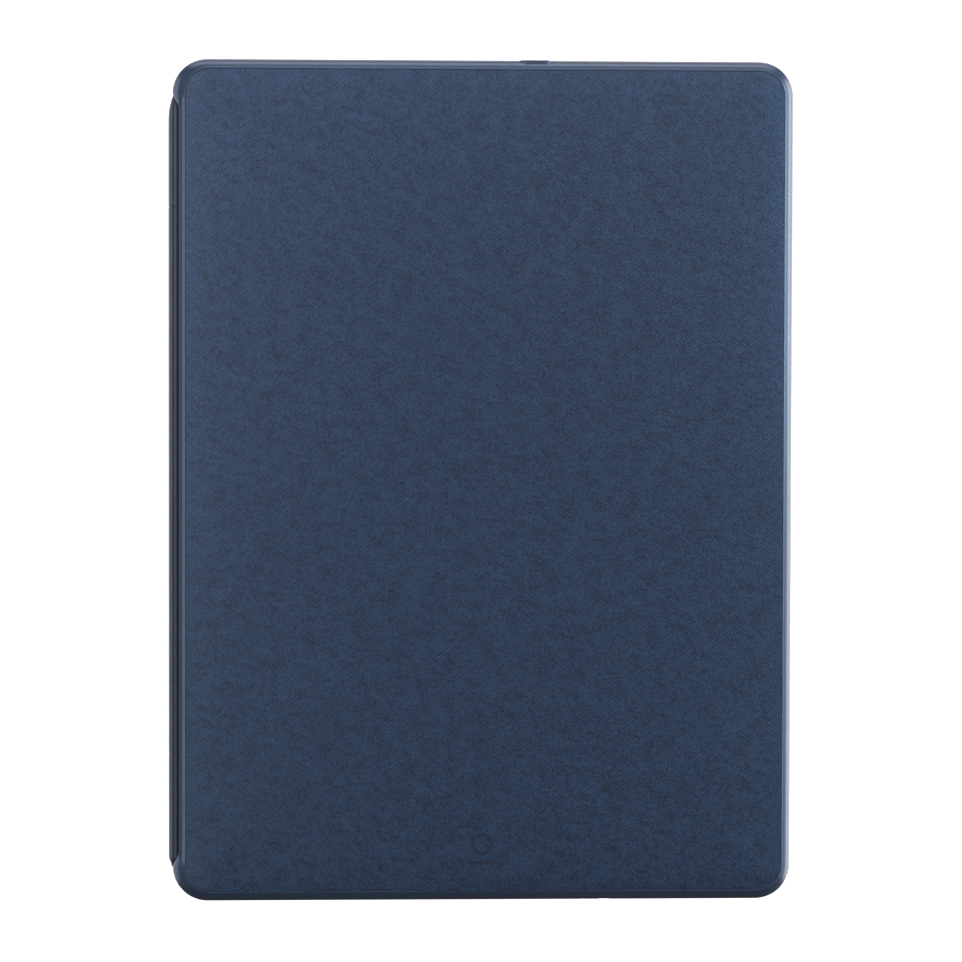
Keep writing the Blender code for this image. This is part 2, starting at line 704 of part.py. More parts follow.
def build_frame(deck, materials):
    plate = (FRAME_BACK_X, FRONT_X - BUMPER_INSET, -END_Y + BUMPER_INSET, END_Y - BUMPER_INSET)
    radius = CORNER_RADIUS - BUMPER_INSET
    rings = [
        ring(plate, radius, z, by)
        for by, z in ((0.4, DECK_BOTTOM), (0.0, DECK_BOTTOM + 0.4), (0.0, FRAME_TOP))
    ]
    frame = add("deck_frame", [loft(rings)], materials["frame"], deck)
    keys = [key for _, group in key_groups() for key in group]
    edge = WELL_MARGIN
    well = (
        min(key[0] for key in keys) - edge,
        max(key[1] for key in keys) + edge,
        min(key[2] for key in keys) - edge,
        max(key[3] for key in keys) + edge,
    )
    combine(frame, "DIFFERENCE", [box(*well, DECK_BOTTOM - 1.0, WELL_FLOOR)])
    holes = [box(*inset(key, -HOLE_CLEARANCE), DECK_BOTTOM - 2.0, FRAME_TOP + 1.0) for key in keys]
    combine(frame, "DIFFERENCE", holes)
    opening = outline(inset(TRACKPAD, -HOLE_CLEARANCE), TRACKPAD_RADIUS + HOLE_CLEARANCE)
    ways = [prism(opening, DECK_BOTTOM - 1.0, FRAME_TOP + 1.0)]
    light = [(DECK_BOTTOM - 1.0, LIGHT_RADIUS + GAP), (FRAME_TOP + 1.0, LIGHT_RADIUS + GAP)]
    ways.append(turned_z(*LIGHT_AT, light))
    for side in (1, -1):
        head = [(AXIS_Z + 1.45 - GAP, SCREW_HEAD + GAP), (FRAME_TOP + 1.0, SCREW_HEAD + GAP)]
        ways.append(turned_z(DECK_SCREW_X, side * DECK_SCREW_Y, head))
    for rect in PADS.values():
        ways.append(box(*inset(rect, -GAP), DECK_BOTTOM - 1.0, PAD_Z[1] + GAP))
    finger = NOTCH_FINGER_HALF
    ways.append(
        box(FRONT_X - 2.2, FRONT_X + 2.0, -finger, finger, DECK_BOTTOM - 1.0, DECK_BOTTOM + 0.7)
    )
    combine(frame, "DIFFERENCE", ways)
    for name, rect in PADS.items():
        add(name, [box(*rect, *PAD_Z)], materials["bumper"], deck)


def pad_rects():
    """Strips over the bumper's top: two along the front edge, one at each end."""
    pads = {}
    half = PAD_WIDTH / 2
    for side, name in ((1, "left"), (-1, "right")):
        y0, y1 = span((60.0, 60.0 + PAD_LENGTH), side)
        front = FRONT_X - 2.2
        pads[f"deck_pad_front_{name}"] = (front - half, front + half, y0, y1)
        end = side * (END_Y - 2.2)
        pads[f"deck_pad_{name}"] = (-60.0, -60.0 + PAD_LENGTH, end - half, end + half)
    return pads


PADS = pad_rects()


def build_inside(deck, materials):
    dark = materials["dark"]
    add("dome_sheet", [box(*SHEET, *DOME_SHEET_Z)], materials["rubber"], deck)
    add("key_support_plate", [box(*SHEET, *SUPPORT_PLATE_Z)], materials["aluminium"], deck)
    x0, x1, y0, y1 = BOARD_STRIP
    board = [
        (x0, y0),
        (x1, y0),
        (x1, -BOARD_HALF),
        (BOARD_FRONT_X, -BOARD_HALF),
        (BOARD_FRONT_X, BOARD_HALF),
        (x1, BOARD_HALF),
        (x1, y1),
        (x0, y1),
    ]
    add("circuit_board", [prism(board, *BOARD_Z)], materials["board"], deck)
    for side, name in ((1, "left"), (-1, "right")):
        cell = box(*BATTERY_X, *span(BATTERY_Y, side), *BATTERY_Z)
        add(f"battery_{name}", [cell], materials["battery"], deck)
        magnet = box(*MAGNET_X, *span(MAGNET_Y, side), *MAGNET_Z)
        add(f"deck_magnet_{name}", [magnet], materials["steel"], deck)
    light = turned_z(*LIGHT_AT, [(z, LIGHT_RADIUS) for z in LIGHT_Z])
    add("status_light", [light], materials["light"], deck)
    port = add("usb_c_port", [port_prism(PORT_SIZE, *PORT_Y)], materials["steel"], deck)
    mouth = port_prism(PORT_MOUTH, PORT_Y[1] - PORT_DEPTH, PORT_Y[1] + 1.0)
    combine(port, "DIFFERENCE", [mouth])
    trackpad_plate = prism(outline(TRACKPAD, TRACKPAD_RADIUS), *TRACKPAD_Z)
    middle = ((TRACKPAD[0] + TRACKPAD[1]) / 2, 0.0, TRACKPAD_Z[0])
    trackpad = add("trackpad", [trackpad_plate], materials["trackpad"], deck, middle)
    flange = box(*inset(TRACKPAD, -TRACKPAD_FLANGE), *TRACKPAD_FLANGE_Z)
    combine(trackpad, "UNION", [flange])
    wall_y = -END_Y + WALL
    knob = box(*SWITCH_X, -END_Y + 0.15, wall_y + 1.0, *SWITCH_Z)
    slider = box(SWITCH_X[0] - 2.0, SWITCH_X[1] + 2.0, wall_y + GAP, wall_y + 1.3, 12.8, 15.2)
    switch_at = (sum(SWITCH_X) / 2, wall_y, sum(SWITCH_Z) / 2)
    switch = add("power_switch", [slider], dark, deck, switch_at)
    combine(switch, "UNION", [knob])


def port_prism(size, y0, y1):
    half_x, half_z = size[0] / 2, size[1] / 2
    rect = (PORT_X - half_x, PORT_X + half_x, PORT_Z - half_z, PORT_Z + half_z)
    return prism_y(outline(rect, half_z * 0.95), y0, y1)


def main():
    clear_scene()
    materials = {
        "skin": principled("navy_textured_cover", (0.030, 0.048, 0.085), 0.6),
        "shell": principled("navy_smooth_shell", (0.035, 0.048, 0.075), 0.35),
        "bumper": principled("navy_soft_bumper", (0.030, 0.042, 0.068), 0.55),
        "button": principled("navy_button", (0.028, 0.040, 0.064), 0.45),
        "spine": principled("navy_spine", (0.032, 0.040, 0.058), 0.45),
        "lining": principled("grey_microfibre", (0.075, 0.080, 0.090), 0.95),
        "frame": principled("keyboard_frame", (0.050, 0.058, 0.075), 0.45),
        "key": principled("key_cap", (0.020, 0.022, 0.026), 0.5),
        "trackpad": principled("trackpad_surface", (0.040, 0.045, 0.055), 0.3),
        "dark": principled("dark_plastic", (0.015, 0.016, 0.018), 0.5),
        "rubber": principled("dome_rubber", (0.30, 0.30, 0.31), 0.7),
        "steel": principled("steel", (0.56, 0.57, 0.58), 0.3, 1.0),
        "aluminium": principled("aluminium", (0.72, 0.73, 0.74), 0.4, 1.0),
        "board": principled("board_green", (0.02, 0.10, 0.05), 0.5),
        "battery": principled("battery_wrap", (0.10, 0.10, 0.11), 0.4),
        "light": principled("light_pipe", (0.85, 0.87, 0.88), 0.2),
    }
    tray = add_empty("tray_base", (0.0, 0.0, 0.0))
    deck = add_empty("deck_hinge_axis", (AXIS_X, 0.0, AXIS_Z))
    build_tray_covers(tray, materials)
    build_bumper(tray, materials)
    build_buttons(tray, materials)
    build_hinge(tray, deck, materials)
    build_deck_covers(deck, materials)
    build_frame(deck, materials)
    build_keys(deck, materials)
    build_inside(deck, materials)


main()
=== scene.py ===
"""Looks for the closed clamshell keyboard case: covers, rims, spine, keys and bay.

Everything is in metres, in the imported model's frame: +Z out of the keyboard half's cover,
-X towards the hinge, +Y towards the typist's left.
"""

import json
import math

import bmesh
import bpy
from mathutils import Matrix, Vector

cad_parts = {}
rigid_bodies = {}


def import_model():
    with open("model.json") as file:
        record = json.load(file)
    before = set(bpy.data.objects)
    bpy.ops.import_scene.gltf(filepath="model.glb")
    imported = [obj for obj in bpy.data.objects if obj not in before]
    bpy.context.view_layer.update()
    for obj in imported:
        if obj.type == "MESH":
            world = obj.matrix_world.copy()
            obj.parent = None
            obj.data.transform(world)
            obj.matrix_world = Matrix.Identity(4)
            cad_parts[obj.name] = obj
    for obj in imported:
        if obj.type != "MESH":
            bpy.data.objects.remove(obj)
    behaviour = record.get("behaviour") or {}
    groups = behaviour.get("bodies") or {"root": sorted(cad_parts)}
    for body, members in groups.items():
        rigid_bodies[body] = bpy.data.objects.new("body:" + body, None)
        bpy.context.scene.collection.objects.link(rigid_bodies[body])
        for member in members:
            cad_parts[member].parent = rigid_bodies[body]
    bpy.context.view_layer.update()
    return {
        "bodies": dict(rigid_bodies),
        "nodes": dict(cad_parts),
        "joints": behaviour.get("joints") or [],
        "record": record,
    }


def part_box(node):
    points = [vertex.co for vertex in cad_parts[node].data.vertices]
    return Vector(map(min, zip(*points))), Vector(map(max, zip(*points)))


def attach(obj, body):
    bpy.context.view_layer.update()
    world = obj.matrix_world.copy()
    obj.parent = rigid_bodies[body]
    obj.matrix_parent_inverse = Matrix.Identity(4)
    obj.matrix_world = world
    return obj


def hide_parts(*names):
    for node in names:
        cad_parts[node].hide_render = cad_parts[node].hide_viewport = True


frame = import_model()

MM = 0.001

# ---------------------------------------------------------------- places, from the frame

JOINTS = {joint["name"]: joint for joint in frame["joints"]}
AXIS_X, _, AXIS_Z = JOINTS["lid_hinge"]["pos_m"]
SHELL_LOW, SHELL_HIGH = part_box("deck_shell")
SKIN_LOW, SKIN_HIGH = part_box("deck_skin")
FRAME_LOW, FRAME_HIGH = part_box("deck_frame")
BUMPER_LOW, BUMPER_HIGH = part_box("tray_bumper")
LINING_LOW, LINING_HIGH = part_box("tray_lining")
GUARD_LOW, GUARD_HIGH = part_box("camera_guard_ring")
END_SLEEVE_LOW, END_SLEEVE_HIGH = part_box("spine_sleeve_left")
CENTER_SLEEVE_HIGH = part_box("spine_sleeve_center")[1]
TRAY_SHELL_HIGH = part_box("tray_shell")[1]

BARREL_RADIUS = CENTER_SLEEVE_HIGH.z - AXIS_Z
BARREL_BORE = BARREL_RADIUS - 0.5 * MM
TROUGH_RADIUS = BARREL_RADIUS + 0.3 * MM
CASE_TOP = SKIN_HIGH.z
FRONT_X = SHELL_HIGH.x
END_Y = SHELL_HIGH.y
BACK_X = SKIN_LOW.x - (FRONT_X - SKIN_HIGH.x)
COVER = (BACK_X, FRONT_X, -END_Y, END_Y)
CORNER_RADIUS = 10.5 * MM
NOTCH_X = BACK_X + 1.95 * MM
NOTCH_HALF = END_SLEEVE_HIGH.y + 0.3 * MM
NOTCH_SHOULDER = 5.4 * MM  # the length over which the notch's ends come in
CAVITY_TOP = 15.8 * MM
WALL = 1.2 * MM
RELIEF = 3.1 * MM  # what lies behind the notch's edge keeps this far above and below the axis
GAP = 0.3 * MM
FAR = 20 * MM  # how far a cutter runs past what it cuts
PAST = 1 * MM  # the same for a cutter through a thin plate
SCREW_HEAD = 1.5 * MM  # the radius of the way for a leaf screw's head
LEAF_START = AXIS_X + 1.35 * MM  # where a leaf's slot or pocket begins
SLOT_ROUND = 0.98  # the corner radius of a slot with round ends, as a share of half its height
TRACKPAD_FLANGE = 1.5 * MM
FLANGE_BACK = 12.5 * MM  # the hidden side of the keys' and the trackpad's flanges
TRAY_TOP = BUMPER_HIGH.z
BUMPER_BOTTOM = BUMPER_LOW.z
BAY = (LINING_LOW.x - GAP, LINING_HIGH.x + GAP, LINING_LOW.y - GAP, LINING_HIGH.y + GAP)
BAY_RADIUS = 8.9 * MM
BAY_TOP = 9.3 * MM
WINDOW = (GUARD_LOW.x - GAP, GUARD_HIGH.x + GAP, GUARD_LOW.y - GAP, GUARD_HIGH.y + GAP)
WINDOW_RADIUS = 8.0 * MM
KNOB_HALF = 0.8 * MM  # half the switch knob's height
SLIDER_END = 2.0 * MM  # how far the switch's slider runs past its knob
KEY_SPACE = 2.6 * MM
KEY_FLANGE = 0.8 * MM
FRAME_FOOT = FRAME_LOW.z  # the keyboard's face, which looks down on the closed case
WELL_FLOOR = FRAME_FOOT + 0.7 * MM

# ---------------------------------------------------------------- small maths


def smooth(low, high, value):
    """0 below low, 1 above high, smooth between; low may be the larger one."""
    t = min(1.0, max(0.0, (value - low) / (high - low)))
    return t * t * (3 - 2 * t)


def inset(rect, by):
    x0, x1, y0, y1 = rect
    return (x0 + by, x1 - by, y0 + by, y1 - by)


def outline(rect, radius, steps=16, left_points=()):
    """Points anticlockwise round a rectangle with round corners. left_points are extra Y places
    on its left side, highest first."""
    x0, x1, y0, y1 = rect
    radius = max(radius, 0.02 * MM)
    centers = (
        (x1 - radius, y1 - radius),
        (x0 + radius, y1 - radius),
        (x0 + radius, y0 + radius),
        (x1 - radius, y0 + radius),
    )
    points = []
    for corner, (cx, cy) in enumerate(centers):
        for step in range(steps + 1):
            angle = math.radians(90) * (corner + step / steps)
            points.append((cx + radius * math.cos(angle), cy + radius * math.sin(angle)))
        if corner == 1:
            points.extend((x0, y) for y in left_points)
    return points


def ring(rect, radius, z, by=0.0, steps=16):
    return [(x, y, z) for x, y in outline(inset(rect, by), radius - by, steps)]


def ring_y(rect, radius, y, steps=8):
    """A ring upright across Y, round an (x0, x1, z0, z1) rectangle."""
    return [(x, y, z) for x, z in outline(rect, radius, steps)]


def loft(rings, closed=False):
    """(points, faces) of rings of equally many points, capped at both ends or closed round."""
    count = len(rings[0])
    points = [point for one in rings for point in one]
    faces = []
    for level in range(len(rings) if closed else len(rings) - 1):
        low = level * count
        high = (level + 1) % len(rings) * count
        for i in range(count):
            j = (i + 1) % count
            faces.append((low + i, low + j, high + j, high + i))
    if not closed:
        faces.append(tuple(reversed(range(count))))
        faces.append(tuple(range(len(points) - count, len(points))))
    return points, faces


def circle(radius, steps):
    angles = [2 * math.pi * step / steps for step in range(steps)]
    return [(radius * math.cos(angle), radius * math.sin(angle)) for angle in angles]


def prism(points, z0, z1):
    return loft([[(x, y, z) for x, y in points] for z in (z0, z1)])


def prism_y(points, y0, y1):
    """An (x, z) outline drawn out along Y."""
    return loft([[(x, y, z) for x, z in points] for y in (y0, y1)])


def block(x0, x1, y0, y1, z0, z1):
    return prism([(x0, y0), (x1, y0), (x1, y1), (x0, y1)], z0, z1)


def quarter(edge, steps=4):
    """(inset, rise) along a round edge, from its foot to its top."""
    angles = [math.radians(90) * step / steps for step in range(steps + 1)]
    return [(edge * (1 - math.cos(angle)), edge * math.sin(angle)) for angle in angles]


def slab(rect, radius, z0, z1, edge0, edge1, steps=8):
    """A plate with round corners, whose edges are rounded at z0 and z1."""
    sign = 1 if z1 > z0 else -1
    levels = [(by, z0 + sign * (edge0 - rise)) for by, rise in reversed(quarter(edge0))]
    levels += [(by, z1 - sign * (edge1 - rise)) for by, rise in quarter(edge1)]
    return loft([ring(rect, radius, z, by, steps) for by, z in levels])


def turned_z(x, y, profile, steps=32):
    """A (z, radius) profile turned about an upright axis at x, y."""
    return loft([[(x + a, y + b, z) for a, b in circle(radius, steps)] for z, radius in profile])


def turned_x(y, z, profile, steps=32):
    """An (x, radius) profile turned about an axis along X at y, z."""
    return loft([[(x, y + a, z + b) for a, b in circle(radius, steps)] for x, radius in profile])


def flat_rect(node, grow=0.0):
    """(x0, x1, y0, y1) of a CAD node, grown by `grow`."""
    low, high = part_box(node)
    return (low.x - grow, high.x + grow, low.y - grow, high.y + grow)


def upright_rect(node, grow=0.0):
    """(x0, x1, z0, z1) of a CAD node, grown by `grow`."""
    low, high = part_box(node)
    return (low.x - grow, high.x + grow, low.z - grow, high.z + grow)


def middle(node):
    low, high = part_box(node)
    return [(a + b) / 2 for a, b in zip(low, high)]


# ---------------------------------------------------------------- objects


MATERIALS = {}  # by slot; main() fills it


def add_object(name, data):
    obj = bpy.data.objects.new(name, data)
    bpy.context.scene.collection.objects.link(obj)
    return obj


def new_piece(name, shapes, slot, sharp=35.0):
    return mesh_object(name, shapes, MATERIALS[slot], sharp)


def mesh_object(name, shapes, material, sharp):
    """An object from (points, faces) shapes, with edges sharper than this angle kept sharp."""
    bm = bmesh.new()
    for points, faces in shapes:
        verts = [bm.verts.new(point) for point in points]
        for face in faces:
            bm.faces.new([verts[i] for i in face])
    bmesh.ops.recalc_face_normals(bm, faces=bm.faces)
    mesh = bpy.data.meshes.new(name)
    bm.to_mesh(mesh)
    bm.free()
    mesh.materials.append(material)
    mesh.shade_smooth()
    mesh.set_sharp_from_angle(angle=math.radians(sharp))
    return add_object(name, mesh)


def combine(obj, operation, shapes, sharp=35.0):
    """Cut shapes out of a piece, or join them to it, and keep only the result."""
    other = mesh_object("cutter", shapes, obj.data.materials[0], 35.0)
    modifier = obj.modifiers.new("combine", "BOOLEAN")
    modifier.operation = operation
    modifier.solver = "EXACT"
    modifier.object = other
    graph = bpy.context.evaluated_depsgraph_get()
    mesh = bpy.data.meshes.new_from_object(obj.evaluated_get(graph), depsgraph=graph)
    mesh.name = obj.name
    obj.modifiers.clear()
    obj.data = mesh
    mesh.shade_smooth()
    mesh.set_sharp_from_angle(angle=math.radians(sharp))
    bpy.data.objects.remove(other)


def settle(obj, body, slot, *nodes):
    """Make a finished piece ride on its body, in place of any CAD nodes named."""
    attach(obj, body)
    if nodes:
        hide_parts(*nodes)
    return obj


# ---------------------------------------------------------------- materials


class Shader:
    """A small helper that wires one Principled material."""

    def __init__(self, name, color, roughness, metallic=0.0):
        self.material = bpy.data.materials.new(name)
        self.material.use_nodes = True
        self.tree = self.material.node_tree
        self.main = self.tree.nodes["Principled BSDF"]
        self.set("Base Color", (*color, 1.0))
        self.set("Roughness", roughness)
        self.set("Metallic", metallic)
        coordinates = self.tree.nodes.new("ShaderNodeTexCoord")
        self.place = coordinates.outputs["Object"]

    def set(self, socket, value):
        self.main.inputs[socket].default_value = value

    def node(self, kind, **settings):
        made = self.tree.nodes.new(kind)
        for name, value in settings.items():
            setattr(made, name, value)
        return made

    def link(self, output, target):
        self.tree.links.new(output, target)

    def mapped(self, scale, turn=0.0):
        """Coordinates turned about Z, then scaled."""
        turned = self.node("ShaderNodeMapping", vector_type="POINT")
        turned.inputs["Rotation"].default_value = (0.0, 0.0, turn)
        self.link(self.place, turned.inputs["Vector"])
        scaled = self.node("ShaderNodeMapping", vector_type="POINT")
        scaled.inputs["Scale"].default_value = scale
        self.link(turned.outputs["Vector"], scaled.inputs["Vector"])
        return scaled.outputs["Vector"]

    def noise(self, scale, detail=2.0, rough=0.5, turn=0.0):
        """Noise at one scale, or at one for each axis."""
        source = self.mapped(scale if isinstance(scale, tuple) else (scale,) * 3, turn)
        made = self.node("ShaderNodeTexNoise")
        made.inputs["Scale"].default_value = 1.0
        made.inputs["Detail"].default_value = detail
        made.inputs["Roughness"].default_value = rough
        self.link(source, made.inputs["Vector"])
        return made.outputs["Fac"]

    def fit(self, value, low, high, to_low, to_high):
        made = self.node("ShaderNodeMapRange")
        for socket, number in zip((1, 2, 3, 4), (low, high, to_low, to_high)):
            made.inputs[socket].default_value = number
        self.link(value, made.inputs[0])
        return made.outputs[0]

    def feed(self, socket, value):
        """Link an output to a socket, or set the socket to a number or a colour."""
        if isinstance(value, tuple):
            socket.default_value = (*value, 1.0)
        elif isinstance(value, float):
            socket.default_value = value
        else:
            self.link(value, socket)

    def math(self, operation, a, b):
        made = self.node("ShaderNodeMath", operation=operation)
        self.feed(made.inputs[0], a)
        self.feed(made.inputs[1], b)
        return made.outputs[0]

    def mix(self, factor, a, b, blend="MIX"):
        made = self.node("ShaderNodeMix", data_type="RGBA", blend_type=blend)
        for name, value in (("Factor", factor), ("A", a), ("B", b)):
            self.feed(made.inputs[name], value)
        return made.outputs["Result"]

    def color(self, output):
        self.link(output, self.main.inputs["Base Color"])

    def roughness(self, output):
        self.link(output, self.main.inputs["Roughness"])

    def bump(self, height, distance, strength=1.0):
        made = self.node("ShaderNodeBump")
        made.inputs["Distance"].default_value = distance
        made.inputs["Strength"].default_value = strength
        self.link(height, made.inputs["Height"])
        self.link(made.outputs["Normal"], self.main.inputs["Normal"])


def scaled_color(color, by):
    return tuple(channel * by for channel in color)


NAVY = (0.0135, 0.0240, 0.0470)
NAVY_RIM = (0.0200, 0.0330, 0.0600)
RIB_TURN = math.radians(-61.5)  # brings the ribs, which lean right at this angle, onto X
RIB_PITCH = 0.624 * MM
CROSS_TURN = math.radians(55)
CROSS_PITCH = 0.77 * MM
WAVE_PERIOD = math.pi / 10  # of Blender's wave texture, at scale 1
NOISE_RANGE = (0.3, 0.7)  # between which nearly all of a noise texture's values lie


def cover_material():
    """Coated twill: two crossing sets of ribs, the slanting one stronger, uneven from rib to rib, with
    painted shade in the weave's valleys and painted glints on its raised tops.
    """
    shader = Shader("cover_fabric", NAVY, 0.5)
    shader.set("Specular IOR Level", 0.5)
    shader.set("Specular Tint", (0.78, 0.90, 1.0, 1.0))
    rib = twill_rib(shader, RIB_TURN, RIB_PITCH, 2.4)
    cross = twill_rib(shader, CROSS_TURN, CROSS_PITCH, 2.6)
    grain = shader.noise(2600.0, 2.0, 0.6)
    clump = shader.noise(1000.0)
    patch = shader.noise((340.0, 200.0, 340.0), turn=RIB_TURN)
    depth = shader.fit(patch, *NOISE_RANGE, 0.6, 1.0)
    crossing = shader.math("MULTIPLY", cross, shader.fit(clump, 0.35, 0.6, 0.0, 0.42))
    weave = shader.math("ADD", shader.math("MULTIPLY", rib, 0.70), crossing)
    fine, coarse = shader.math("MULTIPLY", grain, 0.85), shader.math("MULTIPLY", clump, 0.28)
    uneven = shader.math("ADD", fine, coarse)
    height = shader.math("ADD", shader.math("MULTIPLY", weave, depth), uneven)
    shader.bump(height, 0.05 * MM, 0.7)
    valley, top = 0.59, 1.24
    # Painted shade and painted glints: the colour runs from far darker than the navy in the weave's
    # valleys to far lighter on its raised tops, standing in for the fine weave's light and shade
    painted_glint_and_shade = shader.fit(height, valley, top, 0.0, 1.0)
    tone = shader.mix(painted_glint_and_shade, scaled_color(NAVY, 0.05), scaled_color(NAVY, 2.2))
    broad = shader.noise(60.0)
    shaded = shader.mix(shader.fit(broad, *NOISE_RANGE, 0.0, 1.0), (0.95, 0.95, 0.96), (1.04, 1.04, 1.03))
    shader.color(shader.mix(1.0, tone, shaded, "MULTIPLY"))
    shader.roughness(shader.fit(height, valley, top, 0.42, 0.30))
    return shader.material


def twill_rib(shader, turn, pitch, uneven):
    """Parallel ribs across the direction given by turn, from 0 to 1."""
    rows = shader.node("ShaderNodeTexWave", wave_type="BANDS", bands_direction="Y")
    rows.inputs["Scale"].default_value = WAVE_PERIOD / pitch
    rows.inputs["Distortion"].default_value = uneven
    rows.inputs["Detail"].default_value = 1.0
    rows.inputs["Detail Scale"].default_value = 0.9
    shader.link(shader.mapped((1.0, 1.0, 1.0), turn), rows.inputs["Vector"])
    return rows.outputs["Fac"]


def moulded_material(name, color, rough, grain, depth, extras=()):
    """Smooth or lightly textured moulded plastic, with faint unevenness; depth is in mm."""
    shader = Shader(name, color, rough)
    for socket, value in extras:
        shader.set(socket, value)
    uneven = 0.06
    fine = shader.noise(grain, 3.0, 0.6)
    broad = shader.noise(45.0)
    shader.bump(fine, depth * MM, 0.5)
    low, high = scaled_color(color, 1 - uneven), scaled_color(color, 1 + uneven)
    shader.color(shader.mix(shader.fit(broad, *NOISE_RANGE, 0.0, 1.0), low, high))
    shader.roughness(shader.fit(fine, *NOISE_RANGE, rough * 0.92, rough * 1.08))
    return shader.material


RIM_LOOK = (("Specular IOR Level", 0.8), ("Specular Tint", (0.82, 0.92, 1.0, 1.0)))
# Soft-touch plastic, which looks paler where it turns away
SPINE_LOOK = (
    ("Sheen Weight", 1.0),
    ("Sheen Roughness", 0.3),
    ("Sheen Tint", (0.93, 0.93, 1.0, 1.0)),
)


def metal_material(name, color, rough, stretch=(40.0, 900.0, 900.0)):
    """Ground or drawn metal with fine lines along one direction."""
    shader = Shader(name, color, rough, 1.0)
    lines = shader.noise(stretch, 4.0, 0.6)
    shader.bump(lines, 0.01 * MM, 0.6)
    low, high = scaled_color(color, 0.85), scaled_color(color, 1.08)
    shader.color(shader.mix(lines, low, high))
    shader.roughness(shader.fit(lines, *NOISE_RANGE, rough * 0.8, rough * 1.25))
    return shader.material


def microfibre_material():
    """Short pile with soft brushed patches."""
    color = (0.060, 0.066, 0.078)
    shader = Shader("microfibre", color, 0.92)
    shader.set("Sheen Weight", 0.5)
    shader.set("Sheen Roughness", 0.6)
    pile = shader.noise(2400.0, 4.0, 0.7)
    brushed = shader.noise((38.0, 60.0, 38.0), 3.0, 0.55, math.radians(20))
    shader.bump(pile, 0.08 * MM, 0.8)
    patch = shader.fit(brushed, 0.35, 0.65, 0.0, 1.0)
    tone = shader.mix(patch, scaled_color(color, 0.82), scaled_color(color, 1.22))
    dots = shader.mix(pile, scaled_color(color, 0.7), scaled_color(color, 1.3))
    shader.color(shader.mix(0.4, tone, dots))
    return shader.material


def board_material():
    """Solder resist with faint tracks under it."""
    color = (0.012, 0.060, 0.032)
    shader = Shader("circuit_board", color, 0.4)
    cells = shader.node("ShaderNodeTexVoronoi", feature="DISTANCE_TO_EDGE")
    cells.inputs["Scale"].default_value = 420.0
    shader.link(shader.place, cells.inputs["Vector"])
    track = shader.fit(cells.outputs["Distance"], 0.02, 0.06, 1.0, 0.0)
    shader.color(shader.mix(track, color, scaled_color(color, 2.4)))
    shader.bump(track, 0.02 * MM, 0.6)
    return shader.material


def make_materials():
    """A material for each slot, and two more for the mark and the legends."""
    moulded = {
        "shell": ("rim_plastic", NAVY_RIM, 0.32, 900.0, 0.006, RIM_LOOK),
        "mark": ("mark_plastic", (0.006, 0.010, 0.024), 0.5, 1200.0, 0.02),
        "spine": ("spine_plastic", (0.016, 0.020, 0.030), 0.33, 900.0, 0.006, SPINE_LOOK),
        "bumper": ("bumper_rubber", (0.016, 0.025, 0.045), 0.55, 1800.0, 0.02),
        "button": ("button_rubber", (0.014, 0.022, 0.040), 0.45, 1800.0, 0.012),
        "keyboard_frame": ("keyboard_frame", (0.030, 0.040, 0.060), 0.48, 2600.0, 0.03),
        "key_cap": ("key_caps", (0.012, 0.014, 0.019), 0.5, 3000.0, 0.02),
        "legend": ("key_legends", (0.55, 0.57, 0.60), 0.5, 3000.0, 0.004),
        "trackpad": ("trackpad_plate", (0.026, 0.033, 0.048), 0.26, 3200.0, 0.006),
        "dark_plastic": ("dark_plastic", (0.012, 0.013, 0.015), 0.45, 2200.0, 0.02),
        "dome_rubber": ("dome_rubber", (0.26, 0.26, 0.27), 0.6, 1200.0, 0.02),
        "light_pipe": ("light_pipe", (0.80, 0.84, 0.86), 0.2, 1500.0, 0.004),
    }
    metal = {
        "battery_pouch": ("battery_foil", (0.40, 0.41, 0.42), 0.45, (120.0, 120.0, 120.0)),
        "hinge_steel": ("hinge_steel", (0.52, 0.53, 0.54), 0.3, (900.0, 40.0, 900.0)),
        "plated_steel": ("plated_steel", (0.58, 0.58, 0.57), 0.25),
        "aluminium_plate": ("rolled_aluminium", (0.70, 0.71, 0.72), 0.38),
    }
    made = {"cover_skin": cover_material()}
    for slot, look in moulded.items():
        made[slot] = moulded_material(*look)
    for slot, look in metal.items():
        made[slot] = metal_material(*look)
    made["lining"] = microfibre_material()
    made["board"] = board_material()
    return made


# ---------------------------------------------------------------- covers and rims


SEAM = 3.00 * MM  # inset of the line where a cover meets its rim
SEAM_SPINE = 3.95 * MM  # the same on the spine's side


def pillow(distance):
    """How far a cover falls below its middle at this distance from its edge."""
    near, far = 0.27 * MM, 0.98 * MM
    return near * math.exp(-distance / (2.5 * MM)) + far * math.exp(-distance / (16 * MM))


def seam_rect(by):
    """The rectangle at this share of the way in to the seam, a little wider on the spine's side."""
    x0, x1, y0, y1 = inset(COVER, by)
    return (x0 + by * (SEAM_SPINE / SEAM - 1), x1, y0, y1)


def cover_ring(by, z):
    """A ring of the skin; its corners stay round as far in as they can."""
    x0, x1, y0, y1 = inset(seam_rect(SEAM + 0.05 * MM), by)
    radius = max(CORNER_RADIUS - SEAM - by, 0.9 * MM)
    return [(x, y, z) for x, y in outline((x0, x1, y0, y1), radius, 16)]


# How far in from the cover's edge its rings lie, in mm
COVER_STEPS = (
    0.03, 0.1, 0.25, 0.5, 0.9, 1.4, 2.1, 3.0, 4.2, 6.0, 8.5, 12.0, 17.0, 24.0, 34.0, 46.0, 62.0
)


def cover_rings(face_z, outward):
    """Rings of a cover skin from its foot over its edge to its middle."""
    rings = []
    for by, depth in ((0.02, 0.3), (0.0, 0.2), (0.0, 0.03)):
        rings.append(cover_ring(by * MM, face_z - outward * (depth * MM + pillow(0))))
    for by in COVER_STEPS:
        rings.append(cover_ring(by * MM, face_z - outward * pillow(by * MM)))
    return rings


